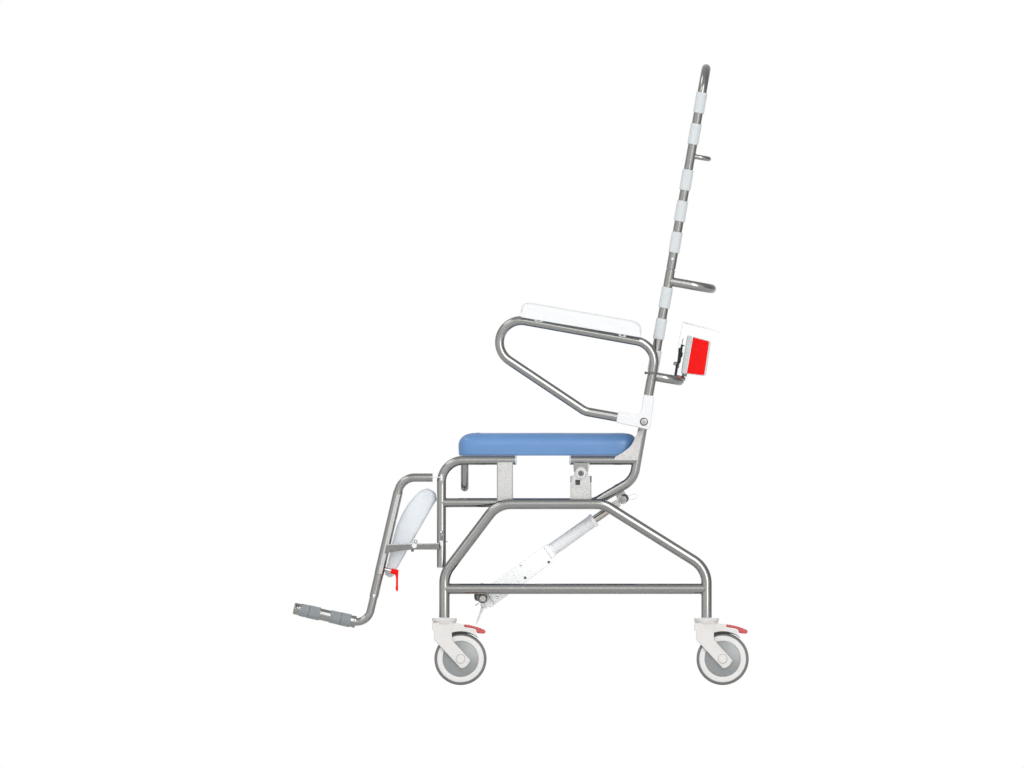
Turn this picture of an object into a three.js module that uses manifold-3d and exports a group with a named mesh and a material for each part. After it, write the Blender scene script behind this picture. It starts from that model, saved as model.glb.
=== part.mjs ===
// Attendant-propelled shower commode chair with powered tilt, elevating-length leg rests and
// flip-up arms. Millimetres, +Z up, front of the chair towards -Y, user's left towards +X.
// Origin: middle of the footprint box, on the floor.
import * as THREE from 'three';
import { mergeVertices } from 'three/addons/utils/BufferGeometryUtils.js';
import Module from 'manifold-3d';

const wasm = await Module();
wasm.setup();
const { Manifold } = wasm;
const SolidMesh = wasm.Mesh;

// ---------------------------------------------------------------- driving dimensions
const UNIT = 2.43;            // mm per unit of the side elevation drawing (u to the rear, v down)
const WHEEL_R = 63.5;         // 127 mm castor wheel
const WHEEL_FACETS = 20;
const U_MID = 520.51;         // drawing station of the middle of the overall length
const V_FLOOR = 658.9 + WHEEL_R / UNIT;

const BASE_TUBE_R = 12.7;     // 25.4 mm base tube
const BASE_BORE_R = 11.1;
const SEAT_TUBE_R = 11.1;     // 22.2 mm frame tube
const SEAT_BORE_R = 9.5;
const LEG_TUBE_R = 9.525;     // 19.05 mm telescoping leg tube
const FACETS = 10;            // sides of a tube section
const BORE_FACETS = 6;        // sides of a tube's bore

const HOOP_X = 252;           // base hoops, centre
const SEAT_X = 222;           // seat side frames and canes, centre
const ARM_X = 262;            // arm loops, centre
const PAD_X0 = 239.5, PAD_X1 = 289.5;
const CUSHION_HALF = 222;
const ACTUATOR_X = 180;
const STRAP_WIDTH = 50;       // 50 mm webbing
const STRAP_OUT_R = 13.4;
const STRAP_IN_R = 11.65;
const GAP = 0.35;             // clearance left between pieces that touch

// ---------------------------------------------------------------- drawing helpers
const yOf = (u) => (u - U_MID) * UNIT;
const zOf = (v) => (V_FLOOR - v) * UNIT;
const P = (x, u, v) => new THREE.Vector3(x, yOf(u), zOf(v));
const caneU = (v) => 704.15 - 0.1766 * (v - 80);          // the back cane's centre line
const CANE_TILT = Math.atan(0.1766);

function toSolid(geometry) {
  const g = geometry.index ? geometry.toNonIndexed() : geometry;
  const bare = new THREE.BufferGeometry();
  bare.setAttribute('position', g.getAttribute('position').clone());
  const merged = mergeVertices(bare, 1e-4);
  return new Manifold(new SolidMesh({
    numProp: 3,
    vertProperties: new Float32Array(merged.getAttribute('position').array),
    triVerts: new Uint32Array(merged.index.array),
  }));
}

function toGeometry(solid) {
  const m = solid.getMesh();
  const g = new THREE.BufferGeometry();
  const count = m.vertProperties.length / m.numProp;
  const pos = new Float32Array(count * 3);
  for (let i = 0; i < count; i++) {
    for (let k = 0; k < 3; k++) pos[i * 3 + k] = m.vertProperties[i * m.numProp + k];
  }
  g.setAttribute('position', new THREE.BufferAttribute(pos, 3));
  g.setIndex(new THREE.BufferAttribute(new Uint32Array(m.triVerts), 1));
  g.computeVertexNormals();
  return g;
}

const join = (first, ...rest) => rest.reduce((a, b) => a.add(b), first);
const cut = (first, ...rest) => rest.reduce((a, b) => a.subtract(b), first);

// a path given by explicit stations, so a straight run is one step
class StationCurve extends THREE.Curve {
  constructor(stations) { super(); this.stations = stations; }
  getPoint(t, target = new THREE.Vector3()) {
    const n = this.stations.length - 1;
    const f = Math.min(Math.max(t, 0), 1) * n;
    const i = Math.min(Math.floor(f + 1e-9), n - 1);
    return target.copy(this.stations[i].p).lerp(this.stations[i + 1].p, f - i);
  }
  getPointAt(t, target) { return this.getPoint(t, target); }
  getTangent(t, target = new THREE.Vector3()) {
    const n = this.stations.length - 1;
    return target.copy(this.stations[Math.round(Math.min(Math.max(t, 0), 1) * n)].t);
  }
  getTangentAt(t, target) { return this.getTangent(t, target); }
}

// straight runs between corners, each corner rounded to its own radius
function bend(corners, radii, stepDeg = 26) {
  const dirs = [];
  for (let i = 0; i + 1 < corners.length; i++) dirs.push(corners[i + 1].clone().sub(corners[i]).normalize());
  const out = [{ p: corners[0].clone(), t: dirs[0].clone() }];
  for (let i = 1; i + 1 < corners.length; i++) {
    const a = dirs[i - 1], b = dirs[i];
    const angle = a.angleTo(b);
    const r = Array.isArray(radii) ? radii[i - 1] : radii;
    const inward = b.clone().addScaledVector(a, -a.dot(b)).normalize();
    const start = corners[i].clone().addScaledVector(a, -r * Math.tan(angle / 2));
    const centre = start.clone().addScaledVector(inward, r);
    const steps = Math.max(2, Math.ceil(THREE.MathUtils.radToDeg(angle) / stepDeg));
    for (let k = 0; k <= steps; k++) {
      const w = angle * k / steps;
      out.push({
        p: centre.clone().addScaledVector(inward, -r * Math.cos(w)).addScaledVector(a, r * Math.sin(w)),
        t: a.clone().multiplyScalar(Math.cos(w)).addScaledVector(inward, Math.sin(w)),
      });
    }
  }
  out.push({ p: corners[corners.length - 1].clone(), t: dirs[dirs.length - 1].clone() });
  return out;
}

function ring(r, facets, turn = 0) {
  const pts = [];
  for (let i = 0; i < facets; i++) {
    const w = turn + 2 * Math.PI * i / facets;
    pts.push(new THREE.Vector2(r * Math.cos(w), r * Math.sin(w)));
  }
  return pts;
}

function sweep(stations, r, facets = FACETS) {
  return toSolid(new THREE.ExtrudeGeometry(new THREE.Shape(ring(r, facets)), {
    steps: stations.length - 1, extrudePath: new StationCurve(stations), bevelEnabled: false,
  }));
}
const rod = (a, b, r, facets = FACETS) => sweep(bend([a, b], 0), r, facets);

const YZX = new THREE.Matrix4().makeBasis(
  new THREE.Vector3(0, 1, 0), new THREE.Vector3(0, 0, 1), new THREE.Vector3(1, 0, 0));

// outline in (y, z), thickness along x
function plate(outline, xa, xb, holes = []) {
  const x0 = Math.min(xa, xb), x1 = Math.max(xa, xb);
  const shape = new THREE.Shape(outline.map(([y, z]) => new THREE.Vector2(y, z)));
  for (const h of holes) shape.holes.push(new THREE.Path(h.map(([y, z]) => new THREE.Vector2(y, z))));
  const g = new THREE.ExtrudeGeometry(shape, { depth: x1 - x0, bevelEnabled: false });
  g.applyMatrix4(YZX);
  g.translate(x0, 0, 0);
  return toSolid(g);
}
const uv = (pts) => pts.map(([u, v]) => [yOf(u), zOf(v)]);
const side = (pts, xa, xb) => plate(uv(pts), xa, xb);

// solid of revolution about a line along x through (y, z); profile is [radius, x] pairs
function turned(profile, y, z, facets = 16, turn = 0) {
  const g = new THREE.LatheGeometry(profile.map(([r, x]) => new THREE.Vector2(r, x)), facets, turn);
  g.rotateZ(-Math.PI / 2);
  g.translate(0, y, z);
  return toSolid(g);
}
const pinX = (r, xa, xb, y, z, facets = 16) => {
  const x0 = Math.min(xa, xb), x1 = Math.max(xa, xb);
  return turned([[0, x0], [r, x0], [r, x1], [0, x1]], y, z, facets);
};
function pillar(profile, facets = 14) {          // about z at the origin, [radius, z] pairs
  const g = new THREE.LatheGeometry(profile.map(([r, z]) => new THREE.Vector2(r, z)), facets);
  g.rotateX(Math.PI / 2);
  return toSolid(g);
}
const block = (x0, x1, y0, y1, z0, z1) => {
  const g = new THREE.BoxGeometry(Math.abs(x1 - x0), Math.abs(y1 - y0), Math.abs(z1 - z0));
  g.translate((x0 + x1) / 2, (y0 + y1) / 2, (z0 + z1) / 2);
  return toSolid(g);
};

// ---------------------------------------------------------------- finishes
const finish = (color, roughness, metalness) => new THREE.MeshStandardMaterial({ color, roughness, metalness });
const STEEL = () => finish(0x9b9b98, 0.32, 0.95);
const PLATE = () => finish(0xcfcec9, 0.5, 0.6);
const DARK = () => finish(0x4a4b4c, 0.5, 0.7);
const WHITE = () => finish(0xeef0f1, 0.45, 0.0);
const GREY_PLASTIC = () => finish(0xdcdad8, 0.5, 0.0);
const TYRE = () => finish(0x6e7373, 0.7, 0.0);
const RED = () => finish(0xc8282c, 0.35, 0.0);
const BLUE = () => finish(0x5d8ec4, 0.55, 0.0);
const WEB = () => finish(0xd8dee2, 0.85, 0.0);

const chair = new THREE.Group();
function add(name, solid, material, parent = chair) {
  const mesh = new THREE.Mesh(solid.isBufferGeometry ? solid : toGeometry(solid), material);
  mesh.name = name;
  parent.add(mesh);
  return mesh;
}
const SIDES = [['left', 1], ['right', -1]];

// ---------------------------------------------------------------- base
const hoopCorners = (s) => [
  P(s * HOOP_X, 444.4, 617.8), P(s * HOOP_X, 444.4, 574.1), P(s * HOOP_X, 497.5, 503.97),
  P(s * HOOP_X, 603.45, 503.97), P(s * HOOP_X, 706.53, 568.4), P(s * HOOP_X, 706.53, 617.8)];
const railLine = (s) => [P(s * HOOP_X, 444.4, 588.77), P(s * HOOP_X, 706.53, 588.77)];
const hoopFat = {}, railFat = {};
for (const [name, s] of SIDES) {
  const path = bend(hoopCorners(s), 65.6);
  const solid = cut(
    join(sweep(path, BASE_TUBE_R), rod(...railLine(s), BASE_TUBE_R)),
    join(sweep(path, BASE_BORE_R, BORE_FACETS), rod(...railLine(s), BASE_BORE_R, BORE_FACETS)));
  // the bore path ends flush with the tube, so a short drill opens both feet
  const opened = cut(solid,
    rod(P(s * HOOP_X, 444.4, 618.4), P(s * HOOP_X, 444.4, 602), BASE_BORE_R + 0.2),
    rod(P(s * HOOP_X, 706.53, 618.4), P(s * HOOP_X, 706.53, 602), BASE_BORE_R + 0.2));
  add(`base_side_${name}`, opened, STEEL());
  hoopFat[name] = sweep(path, BASE_TUBE_R + GAP);
  railFat[name] = rod(...railLine(s), BASE_TUBE_R + GAP);
}

const PIV = [581.1, 473.2];                       // tilt pivot
const LOW = [482.8, 598.7];                       // actuator foot pivot
{
  const low = rod(P(-HOOP_X, 482, 588.77), P(HOOP_X, 482, 588.77), BASE_TUBE_R);
  const front = rod(P(-HOOP_X, 444.4, 588.77), P(HOOP_X, 444.4, 588.77), 11.1);
  const tie = rod(P(ACTUATOR_X, 444.4, 588.77), P(ACTUATOR_X, 481, 588.77), 7, 8);
  const lug = [[475.6, 587], [487.3, 587], [487.3, 601.6], [484.6, 604], [478.6, 604], [475.6, 601.6]];
  let solid = join(low, front, tie);
  for (const dx of [-19.5, 15.5]) solid = join(solid, side(lug, ACTUATOR_X + dx, ACTUATOR_X + dx + 4));
  solid = join(solid, pinX(4.5, ACTUATOR_X - 22, ACTUATOR_X + 22, yOf(LOW[0]), zOf(LOW[1]), 12),
    pinX(10.7, ACTUATOR_X + 19.5, ACTUATOR_X + 24, yOf(LOW[0]), zOf(LOW[1]), 12),
    pinX(8, ACTUATOR_X - 24, ACTUATOR_X - 19.5, yOf(LOW[0]), zOf(LOW[1]), 6));
  for (const [name] of SIDES) solid = cut(solid, hoopFat[name], railFat[name]);
  for (const [, s] of SIDES) {
    const far = s * HOOP_X;
    solid = cut(solid, block(Math.min(far, far + s * 40), Math.max(far, far + s * 40),
      yOf(430), yOf(500), zOf(610), zOf(580)));
  }
  // only the part between the hoops is kept
  const span = block(-HOOP_X, HOOP_X, yOf(430), yOf(500), zOf(612), zOf(578));
  add('base_cross', solid.intersect(span), STEEL());
}

// channel bracket that stands on the hoop and carries the tilt pivot
for (const [name, s] of SIDES) {
  const web = [[571.3, 501.5], [571.3, 479], [574.7, 474.5], [574.8, 472], [575.8, 469.6], [577.6, 467.8],
    [579.8, 466.9], [582.4, 466.9], [584.6, 467.8], [586.4, 469.6], [587.4, 472], [587.6, 474.5], [590.4, 479], [590.4, 501.5]];
  let solid = side(web, s * 241, s * 244);
  solid = join(solid,
    side([[570.2, 501.5], [570.2, 480], [571.6, 478], [571.6, 501.5]], s * 236.2, s * 244),
    side([[590.1, 501.5], [590.1, 478], [591.6, 480], [591.6, 501.5]], s * 236.2, s * 244));
  solid = cut(solid, hoopFat[name], pinX(5.6, s * 238, s * 248, yOf(PIV[0]), zOf(PIV[1]), 12),
    side([[575.3, 479.8], [580, 479.8], [580, 485], [575.3, 485]], s * 238, s * 248),
    block(Math.min(s * 230, s * 262), Math.max(s * 230, s * 262), yOf(566), yOf(596), zOf(504), zOf(500.7)));
  add(`pivot_bracket_${name}`, solid, PLATE());
  const boltLine = [
    [0, 219], [7.6, 219], [7.6, 225.6], [5, 225.6], [5, 231.5], [9, 231.5], [9, 240.6], [5, 240.6], [5, 244.4],
    [14.1, 244.4], [14.1, 246.2], [11.2, 246.2], [11.2, 248.4], [7, 248.4], [7, 253], [0, 253]];
  const placed = s > 0 ? boltLine : boltLine.map(([r, x]) => [r, -x]).reverse();
  add(`pivot_bolt_${name}`, turned(placed, yOf(PIV[0]), zOf(PIV[1]), 12), STEEL());
}

// ---------------------------------------------------------------- castors
const CQ = (du, v) => [du * UNIT, zOf(v)];
const AXLE = CQ(16.1, 658.9);
const forkOutline = [[-12.3, 622.9], [-12.3, 629.8], [-10.4, 632.5], [-10.4, 639.7], [16.2, 668.3], [19.5, 668],
  [23.5, 665], [25.9, 660.2], [10.3, 642.9], [7.5, 639], [7.5, 622.9]].map(([a, b]) => CQ(a, b));
const armOutline = [[5, 623.4], [11.9, 623.3], [19.3, 624.4], [19.3, 627.4], [30.2, 630.1], [30.6, 634.4],
  [33.2, 636.9], [26, 636.4], [20.5, 634.7], [12.7, 634.4], [5, 636]].map(([a, b]) => CQ(a, b));
const pedalOutline = [[19.9, 624.9], [20.4, 624.4], [40.2, 629.3], [40.9, 631.4], [39.1, 633.6], [31.7, 632.8],
  [31.2, 629.95], [19.9, 626.9]].map(([a, b]) => CQ(a, b));
const forkSolid = (() => {
  const cup = pillar([[0, zOf(623.4)], [27, zOf(623.4)], [27.5, zOf(622.4)], [30, zOf(621.2)], [30, zOf(618.4)],
    [28.6, zOf(618.1)], [10, zOf(618.1)], [10, zOf(604)], [0, zOf(604)]]);
  return cup;
})();
const forkGeometry = (() => {
  const cup = forkSolid;
  const slot = turned([[0, -17.2], [66.8, -17.2], [66.8, 17.2], [0, 17.2]], AXLE[0], AXLE[1], 20);
  let solid = cut(join(plate(forkOutline, -24, 24), plate(armOutline, -13, 13)), slot);
  solid = join(solid, cup, pinX(5.3, -24, 24, AXLE[0], AXLE[1], 8),
    pinX(10.6, 24, 25.6, AXLE[0], AXLE[1], 8), pinX(10.6, -25.6, -24, AXLE[0], AXLE[1], 8));
  return toGeometry(solid);
})();
const wheelGeometry = (() => {
  const rv = WHEEL_R / Math.cos(Math.PI / WHEEL_FACETS);
  return toGeometry(turned([[6.2, -16.5], [20, -16.5], [58, -15], [rv, -9.5], [rv, 9.5], [58, 15],
    [20, 16.5], [6.2, 16.5], [6.2, -16.5]], AXLE[0], AXLE[1], WHEEL_FACETS, Math.PI / WHEEL_FACETS));
})();
const pedalGeometry = toGeometry(plate(pedalOutline, -15, 15));
for (const [place, u] of [['front', 444.4], ['rear', 706.53]]) {
  for (const [name, s] of SIDES) {
    const castor = new THREE.Group();
    castor.position.set(s * HOOP_X, yOf(u), 0);
    chair.add(castor);
    add(`castor_fork_${place}_${name}`, forkGeometry, GREY_PLASTIC(), castor);
    add(`castor_wheel_${place}_${name}`, wheelGeometry, TYRE(), castor);
    add(`castor_pedal_${place}_${name}`, pedalGeometry, RED(), castor);
  }
}

// ---------------------------------------------------------------- seat frame and canes
const caneFoot = [633.55, 479.7];
const seatFat = {}, caneFat = {};
const frontPath = (s) => bend([P(s * SEAT_X, 441.45, 567.3), P(s * SEAT_X, 441.45, 460.3), P(s * SEAT_X, 516.7, 460.3)], 22 * UNIT);
const canePath = (s, vTop, vEnd = 0) => bend([P(s * SEAT_X, 441.45, 502.65), P(s * SEAT_X, 594.3, 502.65),
  P(s * SEAT_X, ...caneFoot), P(s * SEAT_X, caneU(vTop), vTop)], [20 * UNIT, 22 * UNIT]);
for (const [name, s] of SIDES) {
  const outer = join(sweep(frontPath(s), SEAT_TUBE_R), sweep(canePath(s, 269.8), SEAT_TUBE_R),
    rod(P(s * SEAT_X, 569.1, 460.3), P(s * SEAT_X, 636.4, 460.3), SEAT_TUBE_R));
  const inner = join(
    sweep(bend([P(s * SEAT_X, 441.45, 568), P(s * SEAT_X, 441.45, 460.3), P(s * SEAT_X, 515.4, 460.3)], 22 * UNIT), SEAT_BORE_R, BORE_FACETS),
    sweep(canePath(s, 271.5), SEAT_BORE_R, BORE_FACETS),
    rod(P(s * SEAT_X, 570.4, 460.3), P(s * SEAT_X, 636.4, 460.3), SEAT_BORE_R, BORE_FACETS));
  let solid = cut(outer, inner);
  // spigot that takes the upper back frame
  solid = join(solid, cut(rod(P(s * SEAT_X, caneU(274), 274), P(s * SEAT_X, caneU(246), 246), 8.8),
    pinX(4.8, s * 222, s * 240, yOf(caneU(259.1)), zOf(259.1), 10)));
  // folded plate between the front stub and the lower tube, open inboard
  const face = [[496.9, 462], [512.95, 462], [512.95, 501], [496.9, 501]];
  let channel = join(side(face, s * 230, s * 233),
    side([[496.9, 462], [498.1, 462], [498.1, 501], [496.9, 501]], s * 216, s * 233),
    side([[511.75, 462], [512.95, 462], [512.95, 501], [511.75, 501]], s * 216, s * 233));
  solid = join(solid, cut(channel,
    rod(P(s * SEAT_X, 480, 460.3), P(s * SEAT_X, 530, 460.3), SEAT_TUBE_R - 0.6),
    rod(P(s * SEAT_X, 480, 502.65), P(s * SEAT_X, 530, 502.65), SEAT_TUBE_R - 0.6)));
  // rear gusset between the stub and the cane, on the outer side
  solid = join(solid, cut(side([[613.9, 460.2], [637.4, 460.2], [642.6, 430.2], [638.3, 431.2], [635.7, 436.8],
    [631.1, 445.5], [625, 451.1], [618.9, 454.7], [615.3, 456.7]], s * 231.2, s * 234.5),
    rod(P(s * SEAT_X, 600, 460.3), P(s * SEAT_X, 636.4, 460.3), SEAT_TUBE_R - 0.6),
    rod(P(s * SEAT_X, caneU(475), 475), P(s * SEAT_X, caneU(420), 420), SEAT_TUBE_R - 0.6)));
  // tab at the tilt pivot
  const tab = [[573.2, 462.5], [589.8, 462.5], [588.6, 470], [587.4, 474.6], [585.4, 477.9], [582.6, 479.6], [579.6, 479.6],
    [576.8, 477.9], [574.8, 474.6], [573.6, 470]];
  solid = join(solid, cut(side(tab, s * 226.2, s * 231.1),
    rod(P(s * SEAT_X, 569, 460.3), P(s * SEAT_X, 600, 460.3), SEAT_TUBE_R - 0.6),
    pinX(5.6, s * 224, s * 234, yOf(PIV[0]), zOf(PIV[1]), 12)));
  add(`seat_side_${name}`, solid, STEEL());
  seatFat[name] = join(sweep(frontPath(s), SEAT_TUBE_R + GAP), sweep(canePath(s, 246), SEAT_TUBE_R + GAP));
}
const cutBySides = (solid) => cut(solid, seatFat.left, seatFat.right);

// front cross tube, bowed down for access
add('seat_front_cross', cutBySides(sweep(bend([P(215, 464.64, 462.5), P(196, 464.64, 487.5), P(-196, 464.64, 487.5),
  P(-215, 464.64, 462.5)], 15), 9.4)), STEEL());

// rear cross tube with the lugs of the upper actuator pin
const UP = [622.9, 499.5];
{
  const lug = [[613.6, 488.5], [620.5, 484.8], [624, 490.5], [627.3, 497.4], [627.2, 501.2], [624.8, 503.8], [621.4, 503.8],
    [618.6, 501.6], [615.6, 495.3]];
  let solid = rod(P(-SEAT_X, 618, 488.8), P(SEAT_X, 618, 488.8), SEAT_TUBE_R);
  for (const dx of [-14.5, 11.5]) {
    solid = join(solid, cut(side(lug, ACTUATOR_X + dx, ACTUATOR_X + dx + 3),
      pinX(4.5, ACTUATOR_X - 30, ACTUATOR_X + 30, yOf(UP[0]), zOf(UP[1]), 12)));
  }
  add('seat_rear_cross', cutBySides(solid), STEEL());
  add('upper_pin', join(pinX(4, ACTUATOR_X - 18, ACTUATOR_X + 18, yOf(UP[0]), zOf(UP[1]), 12),
    pinX(8, ACTUATOR_X + 15, ACTUATOR_X + 18.5, yOf(UP[0]), zOf(UP[1]), 12)), STEEL());
}

// cross members of the back, bowed to the rear at right angles to the canes
const bow = (u0, v0, deep, r, corner, facets = FACETS) => {
  const off = deep / UNIT, cu = Math.cos(CANE_TILT), sv = Math.sin(CANE_TILT);
  const near = 4 / UNIT;                          // starts just behind the centre of the cane
  const a = (x) => P(x, u0 + near * cu, v0 + near * sv), b = (x) => P(x, u0 + off * cu, v0 + off * sv);
  return sweep(bend([a(SEAT_X), b(SEAT_X), b(-SEAT_X), a(-SEAT_X)], corner, 22.5), r, facets);
};
add('push_handle', cutBySides(bow(caneU(281.2), 281.2, 105.6, SEAT_TUBE_R, 50)), STEEL());
add('low_back_cross', cutBySides(bow(caneU(376), 376, 67.8, SEAT_TUBE_R, 42)), STEEL());

// ---------------------------------------------------------------- seat cushion
{
  const y0 = yOf(458.3), y1 = yOf(637.0), h = CUSHION_HALF, rf = 30, rr = 38;
  const plan = new THREE.Shape();
  const corner = (cx, cy, r, a0, a1, n = 5) => {
    const pts = [];
    for (let i = 0; i <= n; i++) {
      const w = a0 + (a1 - a0) * i / n;
      pts.push(new THREE.Vector2(cx + r * Math.cos(w), cy + r * Math.sin(w)));
    }
    return pts;
  };
  const q = Math.PI / 2;
  plan.setFromPoints([
    ...corner(-h + rf, y0 + rf, rf, 2 * q, 3 * q), ...corner(h - rf, y0 + rf, rf, 3 * q, 4 * q),
    ...corner(h - rr, y1 - rr, rr, 0, q), ...corner(-h + rr, y1 - rr, rr, q, 2 * q)]);
  const mouth = [];
  const yc = yOf(556), n = 20;
  for (let i = 0; i < n; i++) {
    const w = 2 * Math.PI * i / n;
    mouth.push(new THREE.Vector2(104 * Math.cos(w) * (1 - 0.12 * Math.sin(w)), yc + 132 * Math.sin(w)));
  }
  plan.holes.push(new THREE.Path(mouth));
  const lip = 7, z0 = zOf(455.45), z1 = zOf(432.75);
  const g = new THREE.ExtrudeGeometry(plan, {
    depth: z1 - z0 - lip, bevelEnabled: true, bevelSegments: 1, bevelThickness: lip, bevelSize: lip, bevelOffset: -lip,
  });
  g.translate(0, 0, z0);
  // flat underside: the lower bevel is trimmed away
  const solid = toSolid(g).intersect(block(-400, 400, y0 - 20, y1 + 20, z0, z1 + 20));
  add('seat_cushion', solid, BLUE());
}

// ---------------------------------------------------------------- upper back frame
{
  const ends = (s, v) => P(s * SEAT_X, caneU(v), v);
  const top = 68.6;
  const path = bend([ends(1, 269.2), ends(1, top), ends(-1, top), ends(-1, 269.2)], 82, 22.5);
  const inner = bend([ends(1, 270.2), ends(1, top), ends(-1, top), ends(-1, 270.2)], 82, 22.5);
  const thin = bow(caneU(155.8), 155.8, 44, 6, 24, 8);
  const sockets = SIDES.map(([, s]) => rod(P(s * SEAT_X, caneU(270.4), 270.4), P(s * SEAT_X, caneU(242), 242), SEAT_BORE_R + 0.3));
  const tube = cut(join(sweep(path, SEAT_TUBE_R), thin), sweep(inner, SEAT_BORE_R, BORE_FACETS), ...sockets);
  const holes = SIDES.map(([, s]) => pinX(4.8, s * 228, s * 240, yOf(caneU(259.1)), zOf(259.1), 10));
  add('upper_back_frame', cut(tube, ...holes), STEEL());
  // spring button of each joint, standing proud of its hole
  for (const [name, s] of SIDES) {
    add(`snap_button_${name}`, pinX(4.1, s * 226.6, s * 236.4, yOf(caneU(259.1)), zOf(259.1), 10), PLATE());
  }
}

// webbing loops round both canes, 50 mm wide
const strapV = [[92.25, 113], [123.5, 144.5], [169.5, 190.25], [200.5, 221.5], [231.75, 252.75],
  [287.25, 308], [318.5, 339.25], [350.5, 371]];
{
  const loop = (r) => {
    const pts = [];
    for (let i = 0; i <= 8; i++) { const w = -Math.PI / 2 + Math.PI * i / 8; pts.push(new THREE.Vector2(SEAT_X + r * Math.cos(w), r * Math.sin(w))); }
    for (let i = 0; i <= 8; i++) { const w = Math.PI / 2 + Math.PI * i / 8; pts.push(new THREE.Vector2(-SEAT_X + r * Math.cos(w), r * Math.sin(w))); }
    return pts;
  };
  const shape = new THREE.Shape(loop(STRAP_OUT_R));
  shape.holes.push(new THREE.Path(loop(STRAP_IN_R)));
  const g = new THREE.ExtrudeGeometry(shape, { depth: STRAP_WIDTH, bevelEnabled: false });
  g.translate(0, 0, -STRAP_WIDTH / 2);
  const strap = toGeometry(toSolid(g));
  strapV.forEach(([a, b], i) => {
    const mesh = add(`back_strap_${i + 1}`, strap, WEB());
    const v = (a + b) / 2;
    mesh.position.copy(P(0, caneU(v), v));
    mesh.rotation.x = -CANE_TILT;
  });
}

// ---------------------------------------------------------------- arms
const armTop = (u) => 338.0 + 0.18 * (u - 620);
const armLow = (u) => 414.1 + 0.18 * (u - 600);
const armPath = (s, cut0 = 0) => {
  const X = s * ARM_X, C = new THREE.Vector2(521.3, 342.4), R = 21.8;
  const n0 = new THREE.Vector2(0.1772, -0.9842), n1 = new THREE.Vector2(-0.5566, 0.8308);
  const w0 = Math.atan2(n0.y, n0.x);
  let w1 = Math.atan2(n1.y, n1.x);
  if (w1 > w0) w1 -= 2 * Math.PI;
  const wm = (w0 + w1) / 2, k = R / Math.cos((w0 - wm) / 2);
  const c1 = new THREE.Vector2(C.x + k * Math.cos((w0 + wm) / 2), C.y + k * Math.sin((w0 + wm) / 2));
  const c2 = new THREE.Vector2(C.x + k * Math.cos((w1 + wm) / 2), C.y + k * Math.sin((w1 + wm) / 2));
  // where the top line meets the line of the cane
  const vc = (338.0 + 0.18 * (704.15 + 0.1766 * 80 - 620)) / (1 + 0.18 * 0.1766);
  return bend([
    P(X, 636.5 + cut0, armLow(636.5 + cut0)), P(X, 585.3, armLow(585.3)), P(X, c2.x, c2.y), P(X, c1.x, c1.y),
    P(X, caneU(vc), vc), P(X, caneU(411 + cut0), 411 + cut0)],
  [18 * UNIT, R * UNIT - 0.01, R * UNIT - 0.01, 21 * UNIT]);
};
for (const [name, s] of SIDES) {
  const path = armPath(s);
  const tube = cut(sweep(path, SEAT_TUBE_R), sweep(armPath(s, 0.4), SEAT_BORE_R, BORE_FACETS));
  add(`arm_frame_${name}`, tube, STEEL());
  const fat = sweep(armPath(s), SEAT_TUBE_R + GAP);
  // pad, moulded over the straight top run
  const pad = [[520.4, 316.1], [521.4, 307.6], [523.4, 304.1], [527.4, 302.3], [634, 320.7], [639.5, 323.9], [641.7, 328.2], [640.6, 336.5]];
  add(`arm_pad_${name}`, cut(side(pad, s * PAD_X0, s * PAD_X1), sweep(armPath(s), SEAT_TUBE_R + 0.5)), WHITE());
  // moulded angle that holds both ends of the loop and turns on the cane
  const shell = [[643.7, 394.4], [654.6, 396.1], [650.6, 427.1], [649.8, 428.9], [648.3, 429.75], [617.3, 422.9], [616.3, 420.9],
    [618.2, 411.4], [636.5, 414.4], [639.5, 414], [640.9, 412.2]];
  let bracket = join(side(shell, s * 248.5, s * 275.5),
    pinX(12, s * 233.6, s * 249, yOf(643.9), zOf(421.7), 16),
    pinX(9.7, s * 275, s * 277, yOf(643.9), zOf(421.7), 16));
  bracket = cut(bracket, fat);
  add(`arm_bracket_${name}`, bracket, WHITE());
}

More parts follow.
